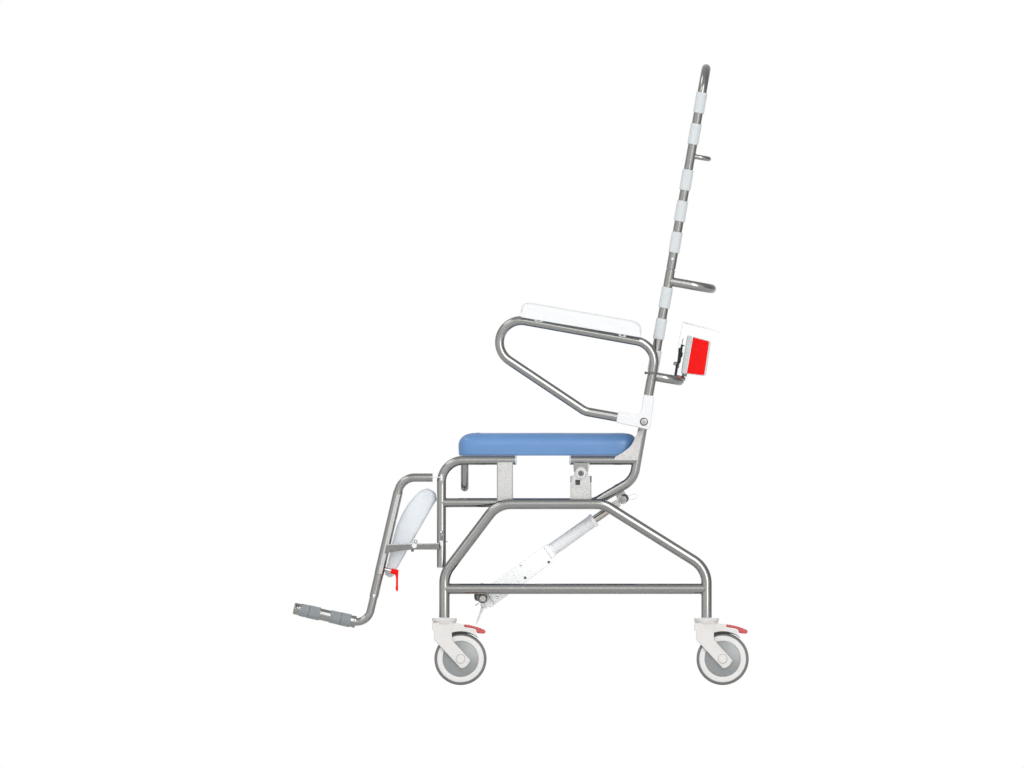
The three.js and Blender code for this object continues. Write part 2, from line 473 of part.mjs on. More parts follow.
// ---------------------------------------------------------------- leg rests
const hangerU = (v) => 391.6 - 0.2318 * (v - 520);
const legTilt = Math.atan(0.2318);
const footV = (u) => 609.7 + 0.222 * (u - 300);
const footCorner = (() => { const v = (609.7 + 0.222 * (391.6 + 0.2318 * 520 - 300)) / (1 + 0.222 * 0.2318); return [hangerU(v), v]; })();
for (const [name, s] of SIDES) {
  const X = s * SEAT_X;
  const H = (v) => P(X, hangerU(v), v);
  // hanger: top run, slanted sleeve, bar to the frame latch, stud of the clamp
  let hanger = join(
    sweep(bend([P(X, 436, 477.6), P(X, hangerU(477.6), 477.6), H(500)], 18 * UNIT * 0.93), 10.3),
    rod(H(492), H(574.5), 11.65), rod(H(574), H(597), 10.9));
  hanger = join(hanger,
    side([[386.7, 544.3], [439.4, 543.4], [439.4, 549.6], [408.6, 549.6], [395, 551.5], [384.9, 553.7]], s * 233, s * 237.6));
  const across = [Math.cos(legTilt), Math.sin(legTilt)];
  const stud = (d) => P(X, hangerU(568.4) + across[0] * d, 568.4 + across[1] * d);
  hanger = join(hanger, rod(stud(3), stud(10.7), 5.2, 12));
  hanger = cut(hanger, rod(H(597.6), H(498), 10.15));
  add(`hanger_${name}`, hanger, STEEL());
  // inner leg tube with the spindle of the foot bar
  const leg = sweep(bend([H(503), P(X, ...footCorner), P(X, 296.5, footV(296.5))], 14.6 * UNIT), LEG_TUBE_R);
  add(`leg_tube_${name}`, leg, STEEL());
  // foot sling: barrel on the spindle, inner rail, two end bars, two webbing bands
  const F = (x, u) => P(x, u, footV(u));
  const along = new THREE.Vector3(0, 50, -0.222 * 50).normalize();
  const inX = s * (SEAT_X - 118);
  let foot = join(rod(F(X, 293.6), F(X, 355.6), 15.3), rod(F(inX, 296), F(inX, 353), 9.5),
    rod(F(X, 297.6), F(inX, 297.6), 6.5, 8), rod(F(X, 351.6), F(inX, 351.6), 6.5, 8));
  foot = cut(foot, rod(F(X, 295.4), F(X, 357), 11.3));
  const band = (u0, u1) => {
    const up = new THREE.Vector3(0, 0.222, 1).normalize();
    const g = new THREE.BoxGeometry(118, F(0, u0).distanceTo(F(0, u1)), 5);
    g.applyMatrix4(new THREE.Matrix4().makeBasis(new THREE.Vector3(1, 0, 0), along, up));
    const mid = F((X + inX) / 2, (u0 + u1) / 2).addScaledVector(up, 9);
    g.translate(mid.x, mid.y, mid.z);
    return cut(toSolid(g), rod(F(X, 290), F(X, 360), 14), rod(F(inX, 290), F(inX, 360), 8.4));
  };
  foot = join(foot, band(300, 319.8), band(330, 350.5));
  add(`footplate_${name}`, foot, STEEL());
  // calf pad on its cross rod
  const calf = [[428, 488], [421.2, 490], [415.4, 495], [407.2, 505], [401.4, 515], [396.6, 526], [392.6, 540], [389.2, 556],
    [385.6, 570], [384.5, 574.6], [390.3, 578], [394.3, 575.1], [397.7, 567.5], [433.42, 505], [437, 500], [435.6, 493.2]];
  add(`calf_pad_${name}`, join(side(calf, s * 96, s * 204),
    side([[402, 541], [413, 542.4], [416.4, 543.9], [417.2, 546.5], [415, 549.3], [401, 551]], s * 184, s * 200),
    pinX(4, s * 200, s * 232.5, yOf(414.2), zOf(546), 10)), finish(0xd6d8dc, 0.5, 0));
  // lever of the length clamp
  const L = (d, w) => [hangerU(568.4) + across[0] * d - across[1] * w, 568.4 + across[1] * d + across[0] * w];
  const hub = rod(P(X, ...L(11, 0)), P(X, ...L(18.3, 0)), 6.6, 12);
  const arm = side([[394.2, 569.6], [398.2, 570.6], [398.2, 590.4], [397.4, 591.2], [396.2, 590.6], [395.6, 588.6], [395.9, 578], [394.4, 573.2]], s * 218.2, s * 225.8);
  add(`clamp_lever_${name}`, join(hub, arm), RED());
}

// ---------------------------------------------------------------- tilt actuator
{
  const du = UP[0] - LOW[0], dv = LOW[1] - UP[1];
  const length = Math.hypot(du, dv), pitch = Math.atan2(dv, du);
  const unit = new THREE.Group();
  unit.position.copy(P(ACTUATOR_X, ...LOW));
  unit.rotation.x = pitch;
  chair.add(unit);
  // local frame: y along the axis, z square to it
  const A = (u, v) => {
    const a = u - LOW[0], b = LOW[1] - v;
    return [(a * Math.cos(pitch) + b * Math.sin(pitch)) * UNIT, (-a * Math.sin(pitch) + b * Math.cos(pitch)) * UNIT];
  };
  const s2 = (s, z = 0, x = 0) => new THREE.Vector3(x, s * UNIT, z * UNIT);
  const casing = [A(491.9, 583.6), A(545.3, 545.4), [82.8 * UNIT, 6.8 * UNIT], [83.4 * UNIT, 6 * UNIT], [83.4 * UNIT, -6.6 * UNIT],
    [81.7 * UNIT, -7.7 * UNIT], A(552, 562.6), A(490.4, 608.0), A(488.7, 606.6)];
  let body = join(plate(casing, -28, 28),
    plate([[-4.4 * UNIT, -4 * UNIT], [-4.4 * UNIT, 2 * UNIT], [-2 * UNIT, 4 * UNIT], A(493, 590), A(493, 604)], -11, 11),
    plate([A(479.9, 605.1), A(484, 601), A(492, 598), A(492, 604), A(486.6, 609.2)], -9, 9),
    rod(s2(82), s2(136.4), 15.6, 16), rod(s2(134), s2(137), 17, 16));
  const [b0, b1] = [A(483.2, 606.6), A(476.2, 624.3)];
  body = join(body, rod(new THREE.Vector3(0, ...b0), new THREE.Vector3(0, ...b1), 2.9, 8));
  body = cut(body, rod(s2(85), s2(139), 10.7, 16), pinX(5.1, -30, 30, 0, 0, 12));
  add('actuator_housing', body, WHITE(), unit);
  const eye = pinX(11.5, -8.5, 8.5, length * UNIT, 0, 16);
  let rodSolid = join(rod(s2(112), s2(163), 9.75, 16), block(-8.5, 8.5, 159.6 * UNIT, 168 * UNIT, -9.5, 9.5), eye);
  rodSolid = cut(rodSolid, pinX(7.6, -30, 30, length * UNIT, 0, 12));
  add('actuator_rod', rodSolid, STEEL(), unit);
}

// ---------------------------------------------------------------- control box, battery and cover
{
  // bracket on the low cross tube of the back
  const strip = [[673.9, 376.6], [676.9, 374.9], [678.9, 363.5], [680.0, 363.7], [683.2, 344.7], [681.0, 344.3], [680.2, 349],
    [678.6, 348.8], [678.2, 351.2], [679.8, 351.5], [678.1, 361.8], [676.4, 361.8]];
  const low = bow(caneU(376), 376, 67.8, SEAT_TUBE_R + GAP, 42);
  const foot = [[673.9, 376.6], [676.9, 374.9], [684.6, 376.5], [683.4, 381.8], [677, 382.5]];
  add('box_bracket', cut(join(side(strip, -24, 24), side(foot, -24, 24)), low), DARK());
  add('control_box', side([[687.2, 335.4], [692.6, 336.4], [686.0, 374.4], [680.9, 373.5]], -105, 105), GREY_PLASTIC());
  add('battery_pack', side([[693.1, 336.7], [708.9, 341.4], [710.4, 341.9], [705.1, 374.8], [703.1, 374.9], [686.6, 373.9]], -98, 98), RED());
  add('splash_cover', side([[677.2, 350], [682.3, 321.9], [682.9, 321.5], [720.9, 331.1], [720.7, 331.9], [683.1, 322.6], [678.0, 350.1]], -118, 118), WHITE());
}

export default chair;
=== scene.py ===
import math

import bmesh
import bpy
from mathutils import Matrix, Vector, noise
from mathutils.geometry import tessellate_polygon


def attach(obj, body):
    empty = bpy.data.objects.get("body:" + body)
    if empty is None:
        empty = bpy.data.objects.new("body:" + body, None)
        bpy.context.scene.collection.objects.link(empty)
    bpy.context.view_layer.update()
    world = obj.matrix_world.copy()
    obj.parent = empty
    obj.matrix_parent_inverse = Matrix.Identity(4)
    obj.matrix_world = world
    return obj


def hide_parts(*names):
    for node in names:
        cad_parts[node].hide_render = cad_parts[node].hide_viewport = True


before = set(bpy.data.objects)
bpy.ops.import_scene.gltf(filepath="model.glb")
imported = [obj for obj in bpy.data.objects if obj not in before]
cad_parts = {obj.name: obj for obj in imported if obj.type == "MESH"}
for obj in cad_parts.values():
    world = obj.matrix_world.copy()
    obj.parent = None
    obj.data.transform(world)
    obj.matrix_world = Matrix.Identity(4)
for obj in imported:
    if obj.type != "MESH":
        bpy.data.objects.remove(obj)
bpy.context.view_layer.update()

# ------------------------------------------------------------------ the side elevation, as in the CAD source
UNIT = 0.00243
U_MID = 520.51
V_FLOOR = 658.9 + 63.5 / 2.43
MM = 0.001
TILT = math.atan(0.1766)
HOOP_X, SEAT_X, ARM_X, ACT_X = 252, 222, 262, 180
SIDES = (("left", 1), ("right", -1))


def yof(u):
    return (u - U_MID) * UNIT


def zof(v):
    return (V_FLOOR - v) * UNIT


def P(x, u, v):
    return Vector((x * MM, yof(u), zof(v)))


def cane_u(v):
    return 704.15 - 0.1766 * (v - 80)


def uv(pts):
    return [(yof(u), zof(v)) for u, v in pts]


# ------------------------------------------------------------------ mesh building
class Build:
    """Gathers closed shells, each with its own material number, into one mesh."""

    def __init__(self):
        self.v, self.f, self.m, self.run = [], [], [], []

    def add(self, part, mat=0, run=None):
        verts, faces = part
        base = len(self.v)
        self.v += [tuple(p) for p in verts]
        self.f += [tuple(i + base for i in f) for f in faces]
        self.m += [mat] * len(faces)
        self.run += run if run else [(0.0, 0.0, 0.0)] * len(verts)
        return self


def skin(rings, closed=False):
    """Quads between successive rings of the same count, capped at both ends unless closed."""
    n = len(rings[0])
    verts = [p for r in rings for p in r]
    faces = []
    last = len(rings) if closed else len(rings) - 1
    for k in range(last):
        a, b = k * n, ((k + 1) % len(rings)) * n
        for j in range(n):
            i = (j + 1) % n
            faces.append((a + j, a + i, b + i, b + j))
    if not closed:
        faces.append(tuple(range(n - 1, -1, -1)))
        e = (len(rings) - 1) * n
        faces.append(tuple(e + j for j in range(n)))
    return verts, faces


def circle(c, a, b, r, n, wobble=None):
    out = []
    for j in range(n):
        w = 2 * math.pi * j / n
        k = r if wobble is None else r * wobble(w)
        out.append(c + a * (k * math.cos(w)) + b * (k * math.sin(w)))
    return out


def frames(path, closed=False):
    """Parallel-transport frames along a list of points."""
    n = len(path)
    tang = []
    for i in range(n):
        if closed:
            t = path[(i + 1) % n] - path[i - 1]
        else:
            t = path[min(i + 1, n - 1)] - path[max(i - 1, 0)]
        tang.append(t.normalized())
    ref = Vector((1, 0, 0)) if abs(tang[0].x) < 0.8 else Vector((0, 0, 1))
    a = (ref - tang[0] * ref.dot(tang[0])).normalized()
    out = []
    for i in range(n):
        t = tang[i]
        a = (a - t * a.dot(t)).normalized()
        out.append((path[i], a, t.cross(a), t))
    return out


def bend(corners, radii, step=5.0):
    """Straight runs between corners, each corner rounded to its radius, in metres."""
    dirs = [(corners[i + 1] - corners[i]).normalized() for i in range(len(corners) - 1)]
    out = [corners[0].copy()]
    for i in range(1, len(corners) - 1):
        a, b = dirs[i - 1], dirs[i]
        ang = a.angle(b)
        r = radii[i - 1] if isinstance(radii, (list, tuple)) else radii
        inward = (b - a * a.dot(b)).normalized()
        start = corners[i] - a * (r * math.tan(ang / 2))
        centre = start + inward * r
        steps = max(3, int(math.ceil(math.degrees(ang) / step)))
        for k in range(steps + 1):
            w = ang * k / steps
            out.append(centre - inward * (r * math.cos(w)) + a * (r * math.sin(w)))
    out.append(corners[-1].copy())
    return out


def dense(path, longest=0.06):
    """Adds points on long straight runs."""
    out = [path[0]]
    for p in path[1:]:
        d = (p - out[-1]).length
        k = max(1, int(math.ceil(d / longest)))
        q = out[-1]
        for i in range(1, k + 1):
            out.append(q.lerp(p, i / k))
    return out


def tube(path, r, n=28, ends=("round", "round"), edge=0.0007, bore=None, depth=0.03):
    """A tube along a path. Ends are plain, round (broken edge), dome, or open (hollow for a depth)."""
    fr = frames(path)
    rings = []

    def end(at, first):
        c, a, b, t = at
        s = -1 if first else 1
        kind = ends[0] if first else ends[1]
        st = []
        if kind == "dome":
            for k in range(6):
                w = math.pi / 2 * k / 6
                st.append((c + t * (s * r * 0.55 * math.cos(w)), r * max(math.sin(w), 0.05)))
        elif kind == "open":
            bi = bore if bore else r * 0.86
            st += [(c - t * (s * depth), bi), (c - t * (s * 0.0005), bi), (c, bi + 0.0004), (c, r - edge), (c - t * (s * edge), r)]
        elif kind == "round":
            st += [(c, r - edge), (c - t * (s * edge * 0.3), r - edge * 0.3), (c - t * (s * edge), r)]
        else:
            st += [(c, r)]
        return [circle(p, a, b, q, n) for p, q in st]

    head = end(fr[0], True)
    tail = end(fr[-1], False)
    rings += head
    for c, a, b, t in fr[1:-1]:
        rings.append(circle(c, a, b, r, n))
    rings += tail[::-1]
    return skin(rings)


def loop_tube(points, r, n=8, wobble=None):
    """A closed ring of round section through the points; wobble(i) scales its radius."""
    fr = frames(points, closed=True)
    rings = []
    for i, (c, a, b, t) in enumerate(fr):
        k = wobble(i) if wobble else 1.0
        rings.append(circle(c, a, b, r * k, n))
    return skin(rings, closed=True)


def weld(centre, branch, main, rb, rm, bead=0.0010):
    """The fillet bead where a branch tube meets a main tube of radius rm square to it."""
    d, m = branch.normalized(), main.normalized()
    nrm = d.cross(m).normalized()
    pts = []
    count = 56
    for k in range(count):
        w = 2 * math.pi * k / count
        h = math.sqrt(max(rm * rm - (rb * math.sin(w)) ** 2, (0.3 * rm) ** 2))
        pts.append(centre + m * (rb * math.cos(w)) + nrm * (rb * math.sin(w)) + d * h)
    return loop_tube(pts, bead, 8, lambda i: 1.0 + 0.10 * math.sin(i * 2.1) + 0.04 * math.sin(i * 5.3))


def lathe(profile, origin, axis, n=40, closed=False, start=0.0):
    """profile: (radius, height) pairs from one end to the other; a radius of 0 is a pole."""
    t = axis.normalized()
    ref = Vector((0, 0, 1)) if abs(t.z) < 0.8 else Vector((0, 1, 0))
    a = (ref - t * ref.dot(t)).normalized()
    b = t.cross(a)
    verts, faces, rows = [], [], []
    for r, h in profile:
        c = origin + t * h
        if r < 1e-7:
            rows.append([len(verts)])
            verts.append(c)
        else:
            rows.append(list(range(len(verts), len(verts) + n)))
            for j in range(n):
                w = start + 2 * math.pi * j / n
                verts.append(c + a * (r * math.cos(w)) + b * (r * math.sin(w)))
    pairs = list(zip(rows, rows[1:]))
    if closed:
        pairs.append((rows[-1], rows[0]))
    for lo, hi in pairs:
        if len(lo) == 1 and len(hi) == 1:
            continue
        for j in range(n):
            i = (j + 1) % n
            if len(lo) == 1:
                faces.append((lo[0], hi[i], hi[j]))
            elif len(hi) == 1:
                faces.append((lo[j], lo[i], hi[0]))
            else:
                faces.append((lo[j], lo[i], hi[i], hi[j]))
    if not closed:
        if len(rows[0]) > 1:
            faces.append(tuple(rows[0][::-1]))
        if len(rows[-1]) > 1:
            faces.append(tuple(rows[-1]))
    return verts, faces


def area2(poly):
    return sum(poly[i - 1][0] * poly[i][1] - poly[i][0] * poly[i - 1][1] for i in range(len(poly))) / 2


def rounded(poly, r, steps=6):
    """Rounds the corners of a polygon; r is one radius or a list, one for each corner."""
    out = []
    n = len(poly)
    for i in range(n):
        p0, p1, p2 = Vector(poly[i - 1]), Vector(poly[i]), Vector(poly[(i + 1) % n])
        rr = r[i] if isinstance(r, (list, tuple)) else r
        a, b = (p1 - p0), (p2 - p1)
        la, lb = a.length, b.length
        if rr <= 0 or la < 1e-9 or lb < 1e-9:
            out.append((p1.x, p1.y))
            continue
        a.normalize()
        b.normalize()
        ang = math.acos(max(-1, min(1, a.dot(b))))
        if ang < 0.03:
            out.append((p1.x, p1.y))
            continue
        d = rr * math.tan(ang / 2)
        lim = 0.48 * min(la, lb)
        if d > lim:
            rr *= lim / d
            d = lim
        s = p1 - a * d
        side = 1 if a.x * b.y - a.y * b.x > 0 else -1
        nrm = Vector((-a.y, a.x)) * side
        c = s + nrm * rr
        k = max(2, int(math.ceil(steps * ang / (math.pi / 2))))
        for q in range(k + 1):
            w = ang * q / k
            e = c - nrm * (rr * math.cos(w)) + a * (rr * math.sin(w))
            out.append((e.x, e.y))
    return out


def inset(poly, d):
    """Moves a counter-clockwise polygon's edges inward by d; an edge that would turn over is left out."""
    n = len(poly)
    pts = [Vector(p) for p in poly]
    edge = []
    for i in range(n):
        e = pts[(i + 1) % n] - pts[i]
        if e.length < 1e-9:
            edge.append(None)
        else:
            e.normalize()
            edge.append((pts[i], e, Vector((-e.y, e.x))))
    active = [i for i in range(n) if edge[i]]

    def corner(a, b):
        pa, da, na = edge[a]
        pb, db, nb = edge[b]
        cr = da.x * db.y - da.y * db.x
        if abs(cr) < 1e-4:
            both = na + nb
            return pts[b] + (both.normalized() if both.length > 1e-6 else na) * d
        w = (pb + nb * d) - (pa + na * d)
        return pa + na * d + da * ((w.x * db.y - w.y * db.x) / cr)

    for _ in range(12):
        m = len(active)
        cs = [corner(active[k - 1], active[k]) for k in range(m)]
        over = {k for k in range(m) if (cs[(k + 1) % m] - cs[k]).dot(edge[active[k]][1]) < -1e-9}
        if not over or m - len(over) < 3:
            break
        active = [a for k, a in enumerate(active) if k not in over]
    out = []
    for v in range(n):
        k = next((j for j, a in enumerate(active) if a >= v), 0)
        q = corner(active[k - 1], active[k])
        out.append((q.x, q.y))
    return out


YZX = (Vector((0, 1, 0)), Vector((0, 0, 1)), Vector((1, 0, 0)), Vector((0, 0, 0)))


def slab(outline, x0, x1, holes=(), bevel=0.0006, seg=2, basis=YZX):
    """An outline in the first two directions of basis, with thickness along the third and broken edges."""
    e1, e2, e3, o = basis
    x0, x1 = min(x0, x1), max(x0, x1)
    if area2(outline) < 0:
        outline = outline[::-1]
    loops = [(outline, 1)] + [(h if area2(h) > 0 else h[::-1], -1) for h in holes]
    verts, faces = [], []
    first_caps, last_caps = [], []
    bevel = min(bevel, (x1 - x0) * 0.49)
    prof = []
    for k in range(seg + 1):
        w = math.pi / 2 * k / seg
        prof.append((bevel * (1 - math.sin(w)), x0 + bevel * (1 - math.cos(w))))
    prof += [(d, x0 + x1 - x) for d, x in prof[::-1]]
    for poly, s in loops:
        n = len(poly)
        base = len(verts)
        for d, x in prof:
            q = inset(poly, d * s) if d > 1e-9 else poly
            for a, b in q:
                verts.append(o + e1 * a + e2 * b + e3 * x)
        for k in range(len(prof) - 1):
            for j in range(n):
                i = (j + 1) % n
                f = (base + k * n + j, base + k * n + i, base + (k + 1) * n + i, base + (k + 1) * n + j)
                faces.append(f if s > 0 else f[::-1])
        first_caps.append([base + j for j in range(n)])
        e = base + (len(prof) - 1) * n
        last_caps.append([e + j for j in range(n)])
    for caps, flip in ((first_caps, True), (last_caps, False)):
        if len(caps) == 1:
            faces.append(tuple(caps[0][::-1] if flip else caps[0]))
            continue
        flat = [i for c in caps for i in c]
        lists = [[Vector((verts[i].dot(e1), verts[i].dot(e2), 0)) for i in c] for c in caps]
        for tri in tessellate_polygon(lists):
            t = tuple(flat[i] for i in tri)
            a, b, c = (verts[i] for i in t)
            up = (b - a).cross(c - a).dot(e3) > 0
            faces.append(t if up != flip else t[::-1])
    return verts, faces


def side(pts, xa, xb, r=0.0, holes=(), bevel=0.0006, seg=2, steps=6):
    """A plate seen in the side elevation: corners in drawing units, thickness in millimetres of x."""
    poly = uv(pts)
    if r:
        poly = rounded(poly, r, steps)
    return slab(poly, xa * MM, xb * MM, [h for h in holes], bevel, seg)


def disc2(y, z, r, n=28):
    return [(y + r * math.cos(2 * math.pi * k / n), z + r * math.sin(2 * math.pi * k / n)) for k in range(n)]


def hexagon(origin, axis, across, height, turn=0.0, chamfer=0.0006):
    """A hexagon head with chamfered corners."""
    t = axis.normalized()
    ref = Vector((0, 0, 1)) if abs(t.z) < 0.8 else Vector((0, 1, 0))
    a = (ref - t * ref.dot(t)).normalized()
    b = t.cross(a)
    rc = across / math.sqrt(3)
    n = 48
    rings = []
    for h, lim in ((0, 1.0), (height - chamfer * 1.4, 1.0), (height, 0.93)):
        ring = []
        for j in range(n):
            w = 2 * math.pi * j / n
            q = ((w - turn) % (math.pi / 3)) - math.pi / 6
            r = min(across / 2 / math.cos(q), rc * lim)
            ring.append(origin + t * h + a * (r * math.cos(w)) + b * (r * math.sin(w)))
        rings.append(ring)
    return skin(rings)


def clean(mesh, sharp=38.0):
    bm = bmesh.new()
    bm.from_mesh(mesh)
    bmesh.ops.remove_doubles(bm, verts=bm.verts, dist=2e-6)
    bmesh.ops.dissolve_degenerate(bm, dist=1e-6, edges=bm.edges)
    bmesh.ops.recalc_face_normals(bm, faces=bm.faces)
    bm.to_mesh(mesh)
    bm.free()
    mesh.polygons.foreach_set("use_smooth", [True] * len(mesh.polygons))
    mesh.set_sharp_from_angle(angle=math.radians(sharp))
    mesh.update()


def piece(name, build, mats, body, nodes=(), sharp=38.0, tidy=True):
    me = bpy.data.meshes.new(name)
    me.from_pydata(build.v, [], build.f)
    if any(r != (0.0, 0.0, 0.0) for r in build.run):
        run = me.attributes.new("run", "FLOAT_VECTOR", "POINT")
        run.data.foreach_set("vector", [k for r in build.run for k in r])
    for m in mats:
        me.materials.append(m)
    me.polygons.foreach_set("material_index", build.m)
    if tidy:
        clean(me, sharp)
    else:
        me.polygons.foreach_set("use_smooth", [True] * len(me.polygons))
        me.update()
    ob = bpy.data.objects.new(name, me)
    bpy.context.scene.collection.objects.link(ob)
    wn = ob.modifiers.new("weighted", "WEIGHTED_NORMAL")
    wn.mode = "FACE_AREA"
    wn.weight = 60
    wn.keep_sharp = True
    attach(ob, body)
    if nodes:
        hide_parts(*nodes)
    return ob


# ------------------------------------------------------------------ finishes
def finish(name, low, high, rough=(0.4, 0.5), metallic=0.0, grain=(60.0, 4.0), bump=(900.0, 0.05, 0.0004),
           blotch=None, sheen=0.0, coat=0.0, specular=0.5, stretch=None, contrast=(0.3, 0.7)):
    """A procedural finish: base colour and roughness follow a fine grain, with a fine relief over it."""
    mat = bpy.data.materials.new(name)
    mat.use_nodes = True
    nt = mat.node_tree
    nt.nodes.clear()
    N, L = nt.nodes.new, nt.links.new
    out = N("ShaderNodeOutputMaterial")
    sh = N("ShaderNodeBsdfPrincipled")
    L(sh.outputs[0], out.inputs["Surface"])
    sh.inputs["Metallic"].default_value = metallic
    sh.inputs["Specular IOR Level"].default_value = specular
    sh.inputs["Sheen Weight"].default_value = sheen
    sh.inputs["Coat Weight"].default_value = coat
    sh.inputs["Coat Roughness"].default_value = 0.12
    co = N("ShaderNodeTexCoord")
    mp = N("ShaderNodeMapping")
    L(co.outputs["Object"], mp.inputs["Vector"])
    if stretch:
        mp.inputs["Scale"].default_value = stretch
    n1 = N("ShaderNodeTexNoise")
    n1.inputs["Scale"].default_value = grain[0]
    n1.inputs["Detail"].default_value = grain[1]
    n1.inputs["Roughness"].default_value = 0.6
    L(mp.outputs[0], n1.inputs["Vector"])
    ramp = N("ShaderNodeValToRGB")
    ramp.color_ramp.elements[0].position = contrast[0]
    ramp.color_ramp.elements[1].position = contrast[1]
    ramp.color_ramp.elements[0].color = (*low, 1)
    ramp.color_ramp.elements[1].color = (*high, 1)
    L(n1.outputs["Fac"], ramp.inputs[0])
    colour = ramp.outputs[0]
    if blotch:
        n3 = N("ShaderNodeTexNoise")
        n3.inputs["Scale"].default_value = blotch[0]
        n3.inputs["Detail"].default_value = 3
        L(co.outputs["Object"], n3.inputs["Vector"])
        mr3 = N("ShaderNodeMapRange")
        mr3.inputs["From Min"].default_value = 0.35
        mr3.inputs["From Max"].default_value = 0.65
        mr3.inputs["To Min"].default_value = 0.0
        mr3.inputs["To Max"].default_value = blotch[2]
        L(n3.outputs["Fac"], mr3.inputs["Value"])
        mx = N("ShaderNodeMix")
        mx.data_type = "RGBA"
        L(mr3.outputs[0], mx.inputs["Factor"])
        L(colour, mx.inputs["A"])
        mx.inputs["B"].default_value = (*blotch[1], 1)
        colour = mx.outputs["Result"]
    L(colour, sh.inputs["Base Color"])
    mr = N("ShaderNodeMapRange")
    mr.inputs["From Min"].default_value = 0.3
    mr.inputs["From Max"].default_value = 0.7
    mr.inputs["To Min"].default_value = rough[0]
    mr.inputs["To Max"].default_value = rough[1]
    L(n1.outputs["Fac"], mr.inputs["Value"])
    L(mr.outputs[0], sh.inputs["Roughness"])
    n2 = N("ShaderNodeTexNoise")
    n2.inputs["Scale"].default_value = bump[0]
    n2.inputs["Detail"].default_value = 3
    L(mp.outputs[0], n2.inputs["Vector"])
    bp = N("ShaderNodeBump")
    bp.inputs["Strength"].default_value = bump[1]
    bp.inputs["Distance"].default_value = bump[2]
    L(n2.outputs["Fac"], bp.inputs["Height"])
    L(bp.outputs[0], sh.inputs["Normal"])
    return mat


def woven(name, low, high, pitch=0.0021, deep=0.0004, shade=0.84):
    """Plain woven webbing. The attribute "run" says how far along and across the strap a point is."""
    mat = finish(name, low, high, rough=(0.75, 0.9), grain=(420.0, 4.0), bump=(1500.0, 0.1, 0.0003), sheen=0.25, specular=0.25)
    nt = mat.node_tree
    N, L = nt.nodes.new, nt.links.new
    sh = next(n for n in nt.nodes if n.type == "BSDF_PRINCIPLED")
    bp = next(n for n in nt.nodes if n.type == "BUMP")
    ramp = next(n for n in nt.nodes if n.type == "VALTORGB")
    at = N("ShaderNodeAttribute")
    at.attribute_name = "run"
    sp = N("ShaderNodeSeparateXYZ")
    L(at.outputs["Vector"], sp.inputs[0])

    def wave(socket, size):
        k = N("ShaderNodeMath")
        k.operation = "MULTIPLY"
        k.inputs[1].default_value = 2 * math.pi / size
        L(socket, k.inputs[0])
        w = N("ShaderNodeMath")
        w.operation = "SINE"
        L(k.outputs[0], w.inputs[0])
        return w.outputs[0]

    m = N("ShaderNodeMath")
    m.operation = "MULTIPLY"
    L(wave(sp.outputs[0], pitch), m.inputs[0])
    L(wave(sp.outputs[1], pitch * 1.2), m.inputs[1])
    h = N("ShaderNodeMapRange")
    h.inputs["From Min"].default_value = -1
    h.inputs["From Max"].default_value = 1
    L(m.outputs[0], h.inputs["Value"])
    b2 = N("ShaderNodeBump")
    b2.inputs["Strength"].default_value = 0.6
    b2.inputs["Distance"].default_value = deep
    L(h.outputs[0], b2.inputs["Height"])
    L(bp.outputs[0], b2.inputs["Normal"])
    L(b2.outputs[0], sh.inputs["Normal"])
    # the weave's low points are darkened in colour as well: painted shade in the hollows of the weave
    dark = N("ShaderNodeMapRange")
    dark.inputs["From Min"].default_value = -1
    dark.inputs["From Max"].default_value = 1
    dark.inputs["To Min"].default_value = shade
    dark.inputs["To Max"].default_value = 1.0
    L(m.outputs[0], dark.inputs["Value"])
    mx = N("ShaderNodeMix")
    mx.data_type = "RGBA"
    mx.blend_type = "MULTIPLY"
    mx.inputs["Factor"].default_value = 1.0
    L(ramp.outputs[0], mx.inputs["A"])
    L(dark.outputs[0], mx.inputs["B"])
    L(mx.outputs["Result"], sh.inputs["Base Color"])
    return mat


STEEL = finish("satin_stainless", (0.326, 0.326, 0.317), (0.352, 0.352, 0.342), rough=(0.145, 0.17), metallic=1.0,
               grain=(210.0, 4.0), bump=(1900.0, 0.007, 0.0002), blotch=(7.0, (0.305, 0.30, 0.288), 0.3))
SLEEVE = finish("brushed_sleeve", (0.50, 0.50, 0.485), (0.60, 0.60, 0.58), rough=(0.34, 0.42), metallic=1.0,
                grain=(90.0, 5.0), bump=(1100.0, 0.05, 0.0003))
BOLT = finish("turned_stainless", (0.42, 0.41, 0.395), (0.52, 0.51, 0.49), rough=(0.16, 0.24), metallic=1.0,
              grain=(150.0, 3.0), bump=(1800.0, 0.04, 0.0002))
WARM = finish("polished_spindle", (0.50, 0.47, 0.42), (0.60, 0.57, 0.51), rough=(0.10, 0.16), metallic=1.0,
              grain=(120.0, 3.0), bump=(2000.0, 0.03, 0.0002))
WELD = finish("weld_bead", (0.24, 0.23, 0.22), (0.38, 0.36, 0.33), rough=(0.3, 0.45), metallic=1.0,
              grain=(300.0, 4.0), bump=(900.0, 0.2, 0.0003))
PLATE = finish("blasted_plate", (0.385, 0.382, 0.37), (0.695, 0.69, 0.675), rough=(0.45, 0.6), metallic=0.45,
               grain=(420.0, 2.5), bump=(1000.0, 0.22, 0.0004), blotch=(30.0, (0.54, 0.535, 0.52), 0.4), contrast=(0.34, 0.66))
# darker copy of the blasted plate, laid over the channel's bends as painted shade
BEND_SHADE = finish("plate_bend_shade", (0.29, 0.287, 0.278), (0.44, 0.436, 0.425), rough=(0.4, 0.55), metallic=0.5,
              grain=(420.0, 2.5), bump=(1000.0, 0.16, 0.0003))
GREY = finish("zinc_grey", (0.15, 0.15, 0.148), (0.215, 0.214, 0.21), rough=(0.28, 0.4), metallic=0.85,
              grain=(260.0, 4.0), bump=(1200.0, 0.06, 0.0003))
CLEVIS = finish("clevis_grey", (0.24, 0.24, 0.235), (0.33, 0.33, 0.325), rough=(0.3, 0.42), metallic=0.7,
                grain=(330.0, 4.0), bump=(1000.0, 0.1, 0.0003))
